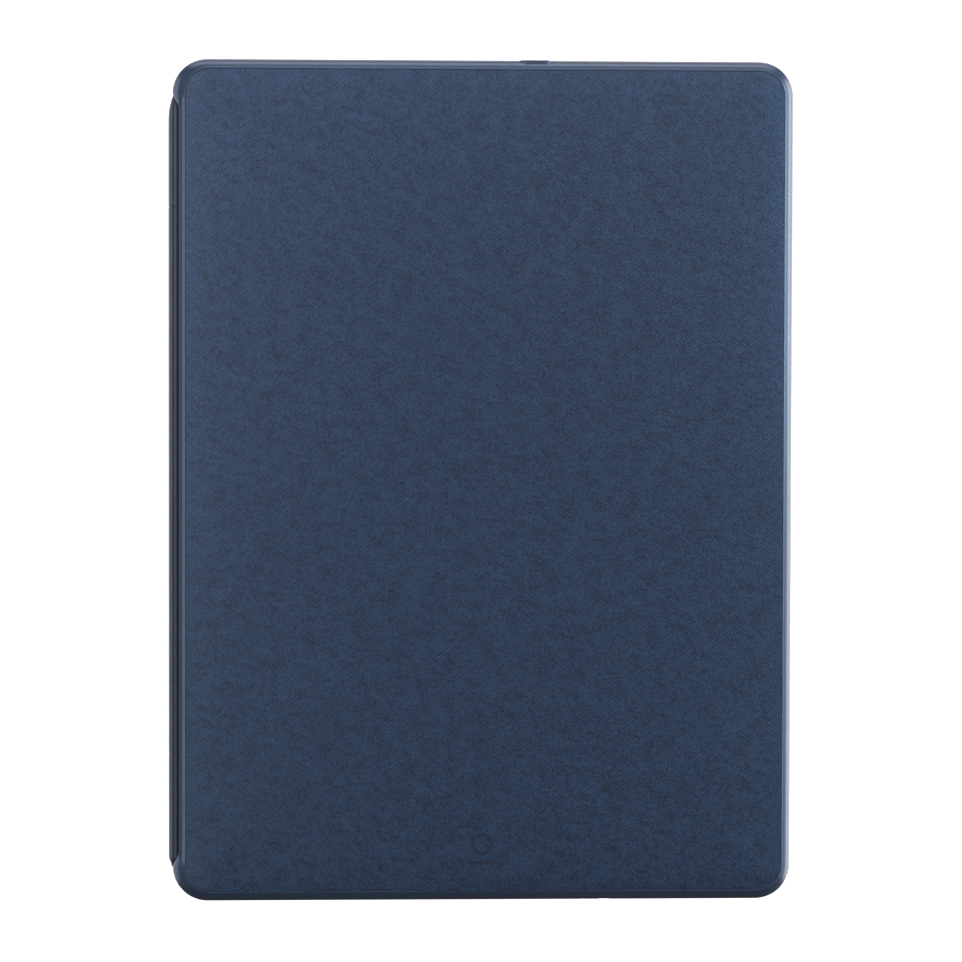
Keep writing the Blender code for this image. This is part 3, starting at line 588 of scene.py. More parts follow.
# From the skin's seat to the foot of the wall, in mm: how far in and how deep a rim point lies,
# and in the notch along the spine its share of the way out to the notch's edge and its depth
RIM_PROFILE = (
    (3.00, 1.85, 0.00, 1.85),
    (3.00, 1.33, 0.00, 1.38),
    (2.97, 1.27, 0.01, 1.29),
    (2.92, 1.235, 0.03, 1.265),
    (2.85, 1.23, 0.06, 1.293),
    (2.76, 1.26, 0.10, 1.365),
    (2.63, 1.34, 0.15, 1.485),
    (2.49, 1.425, 0.21, 1.64),
    (2.31, 1.52, 0.30, 1.845),
    (2.10, 1.625, 0.39, 2.005),
    (1.75, 1.81, 0.49, 2.14),
    (1.42, 2.01, 0.59, 2.245),
    (1.10, 2.25, 0.68, 2.315),
    (0.82, 2.495, 0.77, 2.375),
    (0.56, 2.78, 0.85, 2.42),
    (0.34, 3.12, 0.92, 2.45),
    (0.17, 3.53, 0.97, 2.475),
    (0.05, 4.03, 1.00, 2.505),
    (0.00, 4.80, 1.00, 4.80),
)

CREST = 4  # the profile's highest point; a shallow shell's rim is squeezed from here outwards


def notched(point, share, spine_depth, depth, axis_depth):
    """A rim point's X and depth, moved in to the notch along the spine, whose edge is a soft
    shoulder; axis_depth is the hinge axis's depth below the face."""
    x, y = point
    inside = smooth(NOTCH_HALF, NOTCH_HALF - NOTCH_SHOULDER, abs(y))
    seam = BACK_X + SEAM_SPINE
    limit = seam + (NOTCH_X - seam) * share
    if x < limit:
        x += (limit - x) * inside
        depth += (spine_depth - depth) * inside
    if abs(axis_depth - depth) < RELIEF:
        x = max(x, NOTCH_X)
    return x, depth


LEFT_POINTS = [NOTCH_HALF - step * 0.45 * MM for step in range(13)]
LEFT_POINTS += [-y for y in reversed(LEFT_POINTS)]


def shell_rings(outward, face_z, foot_depth):
    """Rings of a shell's outside, from the skin's seat to its foot, shaped round the spine."""
    levels = []
    for by, depth, share, spine_depth in RIM_PROFILE:
        levels.append([by * MM, depth * MM, share, spine_depth * MM])
    crest, deepest = levels[CREST][1], levels[-1][1]
    foot_edge = 0.3 * MM
    squeeze = min(1.0, (foot_depth - foot_edge - crest) / (deepest - crest))
    for level in levels[CREST:]:
        level[1] = crest + (level[1] - crest) * squeeze
        level[3] = crest + (level[3] - crest) * squeeze
    for by, depth in ((0.0, 0.25), (0.1, 0.06), (0.3, 0.0)):
        level = foot_depth - depth * MM
        levels.append([by * MM, level, 1.0, level])
    axis_depth = abs(face_z - AXIS_Z)
    lowest = axis_depth - RELIEF - 0.05 * MM
    rings = []
    for by, depth, share, spine_depth in levels:
        one = []
        for point in outline(seam_rect(by), CORNER_RADIUS - by, 20, LEFT_POINTS):
            at_back = smooth(BACK_X + 2.6 * MM, BACK_X + 2.0 * MM, point[0])
            here = depth + (lowest - depth) * at_back if depth > lowest else depth
            there = min(spine_depth, lowest)
            x, here = notched(point, share, there, here, axis_depth)
            one.append((x, point[1], face_z - outward * here))
        rings.append(one)
    return rings


def build_deck_cover():
    cover = new_piece("deck_cover", [loft(cover_rings(CASE_TOP, 1))], "cover_skin", 60)
    settle(cover, "deck", "cover_skin", "deck_skin")
    rings = shell_rings(1, CASE_TOP, CASE_TOP - SHELL_LOW.z)
    inside = (NOTCH_X + WALL, FRONT_X - WALL, -END_Y + WALL, END_Y - WALL)
    foot = [
        (max(x, NOTCH_X + WALL), y, z)
        for (x, y), (_, _, z) in zip(
            outline(inside, CORNER_RADIUS - WALL, 20, LEFT_POINTS), rings[-1]
        )
    ]
    top = [(x, y, CAVITY_TOP) for x, y, _ in foot]
    shell = new_piece("deck_rim", [loft(rings + [foot, top])], "shell", 25)
    switch_low, switch_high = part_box("power_switch")
    travel = JOINTS["power_switch_slide"]["range_m"][1]
    middle_z = middle("power_switch")[2]
    slot = (
        switch_low.x + SLIDER_END - GAP,
        switch_high.x - SLIDER_END + travel + GAP,
        middle_z - KNOB_HALF - GAP,
        middle_z + KNOB_HALF + GAP,
    )
    ways = []
    for rect, y in ((upright_rect("usb_c_port", GAP), END_Y), (slot, -END_Y)):
        radius = (rect[3] - rect[2]) / 2 * SLOT_ROUND
        ways.append(loft([ring_y(rect, radius, y + reach) for reach in (-3 * MM, 3 * MM)]))
    combine(shell, "DIFFERENCE", ways)
    settle(shell, "deck", "shell", "deck_shell")


def on_cover(points, lift):
    """A ring of points that follows the cover's surface near its lower end."""
    edge = -END_Y + SEAM
    return [(x, y, CASE_TOP - pillow(y - edge) + lift) for x, y in points]


def build_mark():
    """A plain ring over a short bar, pressed into the cover near its lower end."""
    x, y = 0.4 * MM, -108.8 * MM
    radius, width = 3.3 * MM, 1.0 * MM
    under, over = -0.06 * MM, 0.02 * MM
    rings = []
    for r, lift in ((radius, under), (radius, over), (radius - width, over), (radius - width, under)):
        rings.append(on_cover([(x + a, y + b) for a, b in circle(r, 48)], lift))
    bar = outline((x - 4.2 * MM, x + 4.2 * MM, y - 5.9 * MM, y - 5.1 * MM), 0.36 * MM, 6)
    shapes = [loft(rings, closed=True), loft([on_cover(bar, lift) for lift in (under, over)])]
    settle(new_piece("cover_mark", shapes, "mark"), "deck", "cover_skin")


# ---------------------------------------------------------------- spine


# How far back from a sleeve's closed end, and its radius there, in mm
TAPERS = {
    "left": (
        (7.6, 2.4), (6.2, 2.32), (4.8, 2.13), (3.4, 1.83), (2.0, 1.42), (0.9, 1.02), (0.3, 0.8), (0, 0.5)
    ),
    "right": (
        (3.2, 2.4), (2.6, 2.33), (1.9, 2.1), (1.4, 1.85), (0.9, 1.68), (0.3, 1.6), (0.08, 1.52), (0, 1.3)
    ),
}
SLEEVE_LIP = 0.15 * MM
BORE_DEPTH = 20 * MM


def sleeve_profile(start, end, taper):
    """(y, radius) from the open inner end over the outside to the closed, tapered end."""
    side = 1 if end > start else -1
    profile = [
        (start + side * BORE_DEPTH, BARREL_BORE),
        (start, BARREL_BORE),
        (start, BARREL_RADIUS - SLEEVE_LIP),
        (start + side * SLEEVE_LIP, BARREL_RADIUS),
    ]
    return profile + [(end - side * back, radius) for back, radius in taper]


def turned_y(profile, closed=False, steps=56):
    rings = []
    for y, radius in profile:
        rings.append([(AXIS_X + a, y, AXIS_Z + b) for a, b in circle(radius, steps)])
    return loft(rings, closed)


def leaf_slot(node, upward, reach):
    """A cutter round a leaf, where it leaves the barrel."""
    low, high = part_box(node)
    z0, z1 = sorted((AXIS_Z - upward * 0.7 * MM, AXIS_Z + upward * reach))
    return block(LEAF_START, AXIS_X + 4 * MM, low.y - GAP, high.y + GAP, z0, z1)


def build_spine():
    lip = SLEEVE_LIP
    half = CENTER_SLEEVE_HIGH.y
    profile = [
        (-half, BARREL_RADIUS - lip),
        (-half + lip, BARREL_RADIUS),
        (half - lip, BARREL_RADIUS),
        (half, BARREL_RADIUS - lip),
        (half, BARREL_BORE),
        (-half, BARREL_BORE),
    ]
    center = new_piece("spine_center", [turned_y(profile, closed=True)], "spine")
    slots = [leaf_slot(f"deck_leaf_{side}", 1, 4 * MM) for side in ("left", "right")]
    combine(center, "DIFFERENCE", slots)
    settle(center, "deck", "spine", "spine_sleeve_center")
    for side, taper in TAPERS.items():
        sign = 1 if side == "left" else -1
        start, end = sign * END_SLEEVE_LOW.y, sign * END_SLEEVE_HIGH.y
        steps = [(back * MM, radius * MM) for back, radius in taper]
        sleeve = new_piece(
            f"spine_end_{side}", [turned_y(sleeve_profile(start, end, steps))], "spine"
        )
        combine(sleeve, "DIFFERENCE", [leaf_slot(f"tray_leaf_{side}", -1, 4 * MM)])
        settle(sleeve, "tray", "spine", f"spine_sleeve_{side}")
        build_washer(side, sign)


def build_washer(side, sign):
    """The thrust washer on the pin, between the lid's sleeve and an end sleeve."""
    play = 0.03 * MM
    y0 = sign * (CENTER_SLEEVE_HIGH.y + play)
    y1 = sign * (END_SLEEVE_LOW.y - play)
    outer, hole = BARREL_RADIUS - 0.06 * MM, 1.05 * MM
    profile = [(y0, hole), (y0, outer), (y1, outer), (y1, hole)]
    washer = new_piece(f"spine_washer_{side}", [turned_y(profile, closed=True)], "spine")
    settle(washer, "tray", "spine")


# ---------------------------------------------------------------- tray


def build_tray():
    window = prism(outline(WINDOW, WINDOW_RADIUS), -FAR, FAR)
    cover = new_piece("tray_cover", [loft(cover_rings(0.0, -1))], "cover_skin", 60)
    combine(cover, "DIFFERENCE", [window], 60)
    settle(cover, "tray", "cover_skin", "tray_back_skin")
    shell = new_piece(
        "tray_rim", [loft(shell_rings(-1, 0.0, TRAY_SHELL_HIGH.z))], "shell", 25
    )
    combine(shell, "DIFFERENCE", [window])
    settle(shell, "tray", "shell", "tray_shell")
    low, high = LINING_LOW.z, LINING_HIGH.z
    sheet = slab(inset(BAY, GAP), BAY_RADIUS - GAP, low, high, 0.05 * MM, 0.2 * MM, 16)
    lining = new_piece("bay_lining", [sheet], "lining")
    combine(lining, "DIFFERENCE", [window])
    settle(lining, "tray", "lining", "tray_lining")
    build_guard()
    build_bumper()
    build_buttons()


def build_guard():
    """The soft ring round the camera window, with round inner and outer edges."""
    low, high = GUARD_LOW.z, GUARD_HIGH.z
    width, edge, top_edge = 2.7 * MM, 0.45 * MM, 0.2 * MM
    section = [(by, low + edge - rise) for by, rise in quarter(edge)]
    section += [(width - by, low + edge - rise) for by, rise in reversed(quarter(edge))]
    section += [(width, high - top_edge), (width - top_edge, high)]
    section += [(top_edge, high), (0.0, high - top_edge)]
    rect = inset(WINDOW, GAP)
    rings = [ring(rect, WINDOW_RADIUS - GAP, z, by, 20) for by, z in section]
    guard = new_piece("camera_guard", [loft(rings, closed=True)], "bumper")
    settle(guard, "tray", "bumper", "camera_guard_ring")


def build_bumper():
    """The soft frame that grips the tablet: a wall with a rounded lip over the bay."""
    edge_in = FRONT_X - BUMPER_HIGH.x
    top_edge, foot_edge, nose = 0.8 * MM, 0.4 * MM, 0.35 * MM
    rings = []
    for by, rise in reversed(quarter(foot_edge)):
        rings.append(ring(COVER, CORNER_RADIUS, BUMPER_BOTTOM + foot_edge - rise, edge_in + by, 20))
    for by, rise in quarter(top_edge, 6):
        rings.append(ring(COVER, CORNER_RADIUS, TRAY_TOP - top_edge + rise, edge_in + by, 20))
    lip = 1.2 * MM
    for by, rise in reversed(quarter(nose)):
        rings.append(ring(BAY, BAY_RADIUS, TRAY_TOP - nose + rise, lip - by, 20))
    for by, rise in quarter(0.2 * MM, 3):
        rings.append(ring(BAY, BAY_RADIUS, BAY_TOP + 0.2 * MM - rise, lip - by, 20))
    rings.append(ring(BAY, BAY_RADIUS, BAY_TOP, 0.0, 20))
    rings.append(ring(BAY, BAY_RADIUS, BUMPER_BOTTOM, 0.0, 20))
    bumper = new_piece("tray_frame", [loft(rings, closed=True)], "bumper")
    back = block(BACK_X - FAR, NOTCH_X + 0.1 * MM, -NOTCH_HALF, NOTCH_HALF, -FAR, FAR)
    combine(bumper, "DIFFERENCE", [back])
    trough = turned_y([(-NOTCH_HALF, TROUGH_RADIUS), (NOTCH_HALF, TROUGH_RADIUS)])
    combine(bumper, "DIFFERENCE", [trough])
    relief = block(BACK_X - FAR, NOTCH_X, -END_Y - FAR, END_Y + FAR, AXIS_Z - RELIEF, AXIS_Z + FAR)
    combine(bumper, "DIFFERENCE", [relief])
    pockets = []
    for side in ("left", "right"):
        low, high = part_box(f"tray_leaf_{side}")
        y0, y1 = low.y - GAP, high.y + GAP
        pockets.append(block(LEAF_START, high.x + GAP, y0, y1, low.z - GAP, AXIS_Z + FAR))
    combine(bumper, "DIFFERENCE", pockets)
    ways = []
    for side in ("left", "right"):
        screw = f"tray_leaf_screw_{side}"
        _, y, z = middle(screw)
        start, head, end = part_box(screw)[0].x - PAST, BAY[0] - 0.95 * MM, BAY[0] + 0.5 * MM
        thread, wide = 0.9 * MM, SCREW_HEAD
        ways.append(turned_x(y, z, [(start, thread), (head, thread), (head, wide), (end, wide)]))
    combine(bumper, "DIFFERENCE", ways)
    combine(bumper, "DIFFERENCE", [usb_way()])
    holes, flanges = [], []
    for name in BUTTONS:
        holes.append(button_prism(name, GAP, -0.4 * MM, FAR, 1.2 * MM))
        flanges.append(button_prism(name, BUTTON_FLANGE + GAP, -1.0 * MM, 0.9 * MM, 0.5 * MM))
    combine(bumper, "DIFFERENCE", holes)
    combine(bumper, "DIFFERENCE", flanges)
    settle(bumper, "tray", "bumper", "tray_bumper")


def usb_way():
    """The opening for the tablet's plug, with round corners and a flared mouth."""
    x0, x1, z0, z1 = -5.2 * MM, 9.2 * MM, 3.7 * MM, 8.7 * MM
    levels = (
        (-BAY[3] + 1.0 * MM, 0.0),
        (-END_Y + 0.9 * MM, 0.0),
        (-END_Y + 0.2 * MM, 0.5 * MM),
        (-END_Y - FAR, 0.6 * MM),
    )
    return loft([ring_y(inset((x0, x1, z0, z1), -grow), 1.6 * MM + grow, y) for y, grow in levels])


BUTTONS = ("power_button", "volume_up_button", "volume_down_button")
BUTTON_FLANGE = 0.6 * MM


def button_outline(name, grow, reach, radius):
    """A ring round a button, at a distance outwards from the bay wall's inner face."""
    if name == "power_button":
        return ring_y(upright_rect(name, grow - BUTTON_FLANGE), radius, BAY[3] + reach)
    low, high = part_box(name)
    narrow = BUTTON_FLANGE - grow
    rect = (low.y + narrow, high.y - narrow, low.z + narrow, high.z - narrow)
    return [(BAY[1] + reach, y, z) for y, z in outline(rect, radius, 8)]


def button_prism(name, grow, low, high, radius):
    return loft([button_outline(name, grow, reach, radius) for reach in (low, high)])


def build_buttons():
    """Soft caps with a crowned face, and raised bars to feel: none, two crossed, or one."""
    for name in BUTTONS:
        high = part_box(name)[1]
        outer = high.y - BAY[3] if name == "power_button" else high.x - BAY[1]
        edge = 0.35 * MM
        rings = [button_outline(name, 0.0, 0.4 * MM, 1.3 * MM)]
        for by, rise in quarter(edge):
            rings.append(button_outline(name, -by, outer - 0.12 * MM - edge + rise, 1.3 * MM - by))
        rings.append(button_outline(name, -0.9 * MM, outer - 0.09 * MM, 0.45 * MM))
        button = new_piece(f"{name}_cap", [loft(rings)], "button")
        flange = button_prism(name, BUTTON_FLANGE, 0.05 * MM, 0.55 * MM, 0.5 * MM)
        combine(button, "UNION", [flange])
        if name != "power_button":
            _, y, z = middle(name)
            bars = [(1.3 * MM, 0.22 * MM)]
            if name == "volume_up_button":
                bars.append((0.22 * MM, 0.8 * MM))
            for half_y, half_z in bars:
                flat = outline((y - half_y, y + half_y, z - half_z, z + half_z), 0.18 * MM, 4)
                places = (BAY[1] + outer - 0.4 * MM, BAY[1] + outer)
                rings = [[(place, a, b) for a, b in flat] for place in places]
                combine(button, "UNION", [loft(rings)])
        settle(button, name, "button", name)


# ---------------------------------------------------------------- keyboard

# Each key node's keys in key units, and their legends, from the typist's left
KEYS = {
    "function_key_row": ((1,) * 14, "esc o o o o o o o o o o o o o"),
    "number_key_row": ((1,) * 13, "` 1 2 3 4 5 6 7 8 9 0 - ="),
    "backspace_key": ((1,), "del"),
    "tab_key": ((1,), "tab"),
    "upper_letter_row": ((1,) * 13, "Q W E R T Y U I O P [ ] \\"),
    "caps_lock_key": ((1.25,), "caps"),
    "home_letter_row": ((1,) * 11, "A S D F G H J K L ; '"),
    "return_key": ((1.75,), "enter"),
    "left_shift_key": ((1.75,), "shift"),
    "lower_letter_row": ((1,) * 10, "Z X C V B N M , . /"),
    "right_shift_key": ((2.25,), "shift"),
    "modifier_keys_left": ((1, 1, 1, 1.25), "fn ctrl alt cmd"),
    "space_bar": ((4.5,), ""),
    "modifier_keys_right": ((1.25, 1), "cmd alt"),
    "arrow_left_key": ((1,), "<"),
    "arrow_up_key": ((1,), "^"),
    "arrow_down_key": ((1,), "v"),
    "arrow_right_key": ((1,), ">"),
}


def key_rects(node):
    """The caps' rectangles on a key node, from the typist's left."""
    low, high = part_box(node)
    x0 = low.x + (0.0 if node == "arrow_down_key" else KEY_FLANGE)
    x1 = high.x - (0.0 if node == "arrow_up_key" else KEY_FLANGE)
    widths = KEYS[node][0]
    y = high.y - KEY_FLANGE
    unit = (y - low.y - KEY_FLANGE + KEY_SPACE) / sum(widths)
    rects = []
    for width in widths:
        rects.append((x0, x1, y - width * unit + KEY_SPACE, y))
        y -= width * unit
    return rects


def key_cap(rect):
    """A cap with a slight taper, round edges and a shallow dish in its face; levels in mm."""
    levels = [(0.0, 12.8), (0.06, 12.2), (0.3, 11.3), (0.38, 11.12), (0.52, 10.98), (0.74, 10.91)]
    levels += [(1.0, 10.9), (1.35, 10.92), (1.8, 10.955), (2.3, 10.975)]
    x0, x1, y0, y1 = rect
    room = (min(x1 - x0, y1 - y0) / 2 - 0.1 * MM) / (2.3 * MM)
    scale = min(1.0, room)
    rings = []
    for by, z in levels:
        by *= scale * MM
        rings.append(ring(rect, 1.5 * MM, z * MM, by, 5))
    return loft(rings)


def build_keys():
    for node, (_, legend) in KEYS.items():
        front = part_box(node)[1].z
        flange = slab(flat_rect(node), 1.8 * MM, FLANGE_BACK, front, 0.05 * MM, 0.05 * MM, 4)
        rects = key_rects(node)
        keys = new_piece(f"{node}_caps", [flange], "key_cap")
        combine(keys, "UNION", [key_cap(rect) for rect in rects])
        settle(keys, node, "key_cap", node)
        marks = [add_legend(text, rect) for text, rect in zip(legend.split(), rects)]
        if marks:
            settle(join_legends(f"{node}_legends", marks), node, "key_cap")


def add_legend(text, rect):
    """A thin printed legend, upright for the typist, who sits at +X."""
    x0, x1, y0, y1 = rect
    curve = bpy.data.curves.new("legend", "FONT")
    curve.body = text
    small = len(text) > 1 or x1 - x0 < 9 * MM
    curve.size = (2.3 if small else 4.0) * MM
    curve.align_x, curve.align_y = "CENTER", "CENTER"
    curve.extrude = 0.012 * MM
    curve.resolution_u = 4
    obj = add_object("legend", curve)
    place = Matrix(((0, -1, 0), (-1, 0, 0), (0, 0, -1))).to_4x4()
    cap_face = 10.972 * MM
    place.translation = ((x0 + x1) / 2, (y0 + y1) / 2, cap_face)
    obj.matrix_world = place
    return obj


def join_legends(name, marks):
    """One mesh from several text objects."""
    bpy.context.view_layer.update()
    graph = bpy.context.evaluated_depsgraph_get()
    bm = bmesh.new()
    for obj in marks:
        mesh = bpy.data.meshes.new_from_object(obj.evaluated_get(graph))
        mesh.transform(obj.matrix_world)
        bm.from_mesh(mesh)
        bpy.data.meshes.remove(mesh)
        bpy.data.objects.remove(obj)
    bmesh.ops.remove_doubles(bm, verts=bm.verts, dist=0.0005 * MM)
    joined = bpy.data.meshes.new(name)
    bm.to_mesh(joined)
    bm.free()
    joined.materials.clear()
    joined.materials.append(MATERIALS["legend"])
    for polygon in joined.polygons:
        polygon.material_index = 0
    return add_object(name, joined)


def build_frame():
    """The keyboard's face: a thin plate with round edges, a sunk key well and openings."""
    plate = (FRAME_LOW.x, FRAME_HIGH.x, FRAME_LOW.y, FRAME_HIGH.y)
    radius = CORNER_RADIUS - (END_Y - FRAME_HIGH.y)
    face = slab(plate, radius, FRAME_HIGH.z, FRAME_FOOT, 0.05 * MM, 0.55 * MM, 20)
    frame = new_piece("keyboard_frame", [face], "keyboard_frame")
    rects = [rect for node in KEYS for rect in key_rects(node)]
    edge = 1.5 * MM
    well = (
        min(rect[0] for rect in rects) - edge,
        max(rect[1] for rect in rects) + edge,
        min(rect[2] for rect in rects) - edge,
        max(rect[3] for rect in rects) + edge,
    )
    rings = []
    for grow, z in ((0.0, 0.0), (0.0, -0.45), (0.08, -0.6), (0.25, -0.7), (0.3, -2.0)):
        rings.append(ring(well, 2.2 * MM, WELL_FLOOR + z * MM, -grow * MM, 8))
    combine(frame, "DIFFERENCE", [loft(rings)])
    clearance = 0.4 * MM
    holes = []
    for rect in rects:
        wide = inset(rect, -clearance)
        holes.append(prism(outline(wide, 1.7 * MM, 5), FRAME_FOOT - PAST, FRAME_HIGH.z + PAST))
    combine(frame, "DIFFERENCE", holes)
    pad = inset(flat_rect("trackpad"), TRACKPAD_FLANGE)
    rings = []
    for grow, z in (
        (clearance, FRAME_HIGH.z + PAST),
        (clearance, FRAME_FOOT + 0.3 * MM),
        (0.7 * MM, FRAME_FOOT),
        (1.7 * MM, FRAME_FOOT - PAST),
    ):
        rings.append(ring(pad, 2.5 * MM, z, -grow, 10))
    combine(frame, "DIFFERENCE", [loft(rings)])
    x, y, _ = middle("status_light")
    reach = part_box("status_light")[1].x - x + GAP
    ways = [turned_z(x, y, [(FRAME_FOOT - PAST, reach), (FRAME_HIGH.z + PAST, reach)])]
    for side in ("left", "right"):
        screw = f"deck_leaf_screw_{side}"
        x, y, _ = middle(screw)
        start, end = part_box(screw)[0].z - GAP, FRAME_HIGH.z + PAST
        ways.append(turned_z(x, y, [(start, SCREW_HEAD), (end, SCREW_HEAD)]))
    for node in PADS:
        rect = flat_rect(node, GAP)
        ways.append(prism(outline(rect, 0.95 * MM, 6), FRAME_FOOT - PAST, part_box(node)[1].z + GAP))
    combine(frame, "DIFFERENCE", ways)
    rings = []
    for y, depth in finger_scoop():
        rings.append([
            (FRONT_X - 2.2 * MM * depth, y, FRAME_FOOT - PAST),
            (FRONT_X + 2 * MM, y, FRAME_FOOT - PAST),
            (FRONT_X + 2 * MM, y, FRAME_FOOT + 0.75 * MM * depth),
            (FRONT_X - 1.2 * MM * depth, y, FRAME_FOOT + 0.7 * MM * depth),
        ])
    combine(frame, "DIFFERENCE", [loft(rings)])
    settle(frame, "deck", "keyboard_frame", "deck_frame")


def finger_scoop():
    """(y, share of the full depth) along the scoop that a finger opens the lid with."""
    half = 11.0 * MM
    places = [-1.0, -0.9, -0.75, -0.55, -0.3, 0.0, 0.3, 0.55, 0.75, 0.9, 1.0]
    return [(half * place, max(0.02, smooth(1.0, 0.55, abs(place)))) for place in places]


PADS = ("deck_pad_front_left", "deck_pad_front_right", "deck_pad_left", "deck_pad_right")


def build_deck_details():
    for node in PADS:
        low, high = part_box(node)
        pad = slab(flat_rect(node), 0.68 * MM, high.z, low.z, 0.05 * MM, 0.3 * MM, 6)
        piece = new_piece(f"{node}_strip", [pad], "bumper")
        settle(piece, "deck", "bumper", node)
    build_trackpad()
    build_switch()
    build_port()
    low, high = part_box("status_light")
    x, y, _ = middle("status_light")
    radius = (high.x - low.x) / 2
    bulge = ((0.15, 0.0), (0.5, 0.08), (0.8, 0.3), (1.0, 1.0))
    dome = [(low.z + radius * 0.35 * rise, radius * side) for side, rise in bulge]
    dome.append((high.z, radius))
    lens = new_piece("status_lens", [turned_z(x, y, dome, 24)], "light_pipe")
    settle(lens, "deck", "light_pipe", "status_light")


def port_rings(levels):
    """Rings round the charging port at (y, how far in from its box) levels."""
    half = (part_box("usb_c_port")[1].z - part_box("usb_c_port")[0].z) / 2
    rings = []
    for y, by in levels:
        rings.append(ring_y(upright_rect("usb_c_port", -by), SLOT_ROUND * (half - by), y))
    return rings


def build_port():
    """The charging port's drawn shell, its tongue, and a moulded surround that carries the rim's
    edge on across the mouth."""
    low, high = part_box("usb_c_port")
    mouth_y = high.y - 0.5 * MM
    wall, lip, depth = 0.3 * MM, 0.1 * MM, 5.0 * MM
    levels = (
        (low.y, 0.0),
        (mouth_y - lip, 0.0),
        (mouth_y, lip),
        (mouth_y, wall - lip),
        (mouth_y - lip, wall),
        (mouth_y - depth, wall),
    )
    shell = new_piece("usb_c_shell", [loft(port_rings(levels))], "plated_steel")
    settle(shell, "deck", "plated_steel", "usb_c_port")
    x, _, z = middle("usb_c_port")
    half_x, half_z = 3.3 * MM, 0.36 * MM
    flat = outline((x - half_x, x + half_x, z - half_z, z + half_z), 0.12 * MM, 3)
    tongue = prism_y(flat, mouth_y - depth + 0.05 * MM, mouth_y - 0.4 * MM)
    piece = new_piece("usb_c_tongue", [tongue], "dark_plastic")
    settle(piece, "deck", "dark_plastic")
    outer, inner, edge, back = -0.35 * MM, 0.1 * MM, 0.15 * MM, END_Y - 1.5 * MM
    levels = ((back, outer), (END_Y - edge, outer), (END_Y, outer + edge), (END_Y, inner), (back, inner))
    shape = loft(port_rings(levels), closed=True)
    settle(new_piece("usb_c_surround", [shape], "shell"), "deck", "shell")


def build_trackpad():
    rect = inset(flat_rect("trackpad"), TRACKPAD_FLANGE)
    low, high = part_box("trackpad")
    shape = slab(rect, 2.5 * MM, 12.7 * MM, low.z, 0.05 * MM, 0.22 * MM, 12)
    plate = new_piece("trackpad_plate", [shape], "trackpad")
    wide = inset(rect, -TRACKPAD_FLANGE)
    flange = slab(wide, 3.0 * MM, FLANGE_BACK, high.z, 0.05 * MM, 0.05 * MM, 8)
    combine(plate, "UNION", [flange])
    settle(plate, "trackpad", "trackpad", "trackpad")


def build_switch():
    """The slide switch: a knob with ribs across it, on a slider inside the wall."""
    low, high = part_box("power_switch")
    x0, x1 = low.x + SLIDER_END, high.x - SLIDER_END
    middle_z = middle("power_switch")[2]
    z0, z1 = middle_z - KNOB_HALF, middle_z + KNOB_HALF
    edge, corner = 0.25 * MM, 0.5 * MM
    rings = [ring_y((x0, x1, z0, z1), corner, high.y - 0.1 * MM, 5)]
    for by, rise in quarter(edge):
        rings.append(ring_y(inset((x0, x1, z0, z1), by), corner - by, low.y + edge - rise, 5))
    knob = new_piece("power_switch_knob", [loft(rings)], "dark_plastic")
    slider = block(low.x, high.x, -END_Y + WALL + GAP, high.y, low.z, high.z)
    combine(knob, "UNION", [slider])
    grooves = []
    count, half, foot = 4, 0.2 * MM, 0.06 * MM
    y0, y1 = low.y - 0.1 * MM, low.y + 0.3 * MM
    for index in range(count):
        x = x0 + (x1 - x0) * (index + 1) / (count + 1)
        flat = [(x - half, y0), (x + half, y0), (x + foot, y1), (x - foot, y1)]
        grooves.append(prism(flat, z0 + 0.25 * MM, z1 - 0.25 * MM))
    combine(knob, "DIFFERENCE", grooves)
    settle(knob, "power_switch", "dark_plastic", "power_switch")


# ---------------------------------------------------------------- CAD nodes that stay


def finish_cad_nodes():
    """Give each CAD node that stays its own material."""
    for part in frame["record"]["subparts"]:
        node = frame["nodes"][part["node"]]
        node.data.materials.clear()
        node.data.materials.append(MATERIALS[part["material_slot"]])


# ---------------------------------------------------------------- stage


def build_floor():
    """A white floor that only shows; it lights nothing."""
    size = 3.0
    flat = [(-size, -size), (size, -size), (size, size), (-size, size)]
    mesh = bpy.data.meshes.new("floor")
    mesh.from_pydata([(x, y, -0.0005) for x, y in flat], [], [(0, 1, 2, 3)])
    floor = add_object("floor", mesh)
    material = bpy.data.materials.new("floor_white")
    material.use_nodes = True
    shader = material.node_tree.nodes["Principled BSDF"]
    for socket, value in (
        ("Base Color", (0.8, 0.8, 0.8, 1.0)),
        ("Roughness", 1.0),
        ("Specular IOR Level", 0.0),
        ("Emission Color", (1.0, 1.0, 1.0, 1.0)),
        ("Emission Strength", 0.97),
    ):
        shader.inputs[socket].default_value = value
    mesh.materials.append(material)
    floor.visible_diffuse = False
    floor.visible_glossy = False
    floor.visible_shadow = False


def toward(azimuth, elevation, distance, aim):
    """The point at this bearing (degrees from +X, and up) and distance from aim."""
    across, up = math.radians(azimuth), math.radians(elevation)
    reach = distance * math.cos(up)
    return Vector(aim) + Vector(
        (reach * math.cos(across), reach * math.sin(across), distance * math.sin(up))
    )


def add_panel(name, azimuth, elevation, distance, aim_y, size, radiance):
    light = bpy.data.lights.new(name, "AREA")
    light.shape = "RECTANGLE"
    light.size, light.size_y = size
    strongest = max(radiance)
    light.color = [part / strongest for part in radiance]
    light.energy = strongest * math.pi * size[0] * size[1]
    obj = add_object(name, light)
    aim = (0, aim_y, 0.01)
    obj.location = toward(azimuth, elevation, distance, aim)
    obj.rotation_euler = (Vector(aim) - obj.location).to_track_quat("-Z", "Y").to_euler()
    obj.visible_camera = False


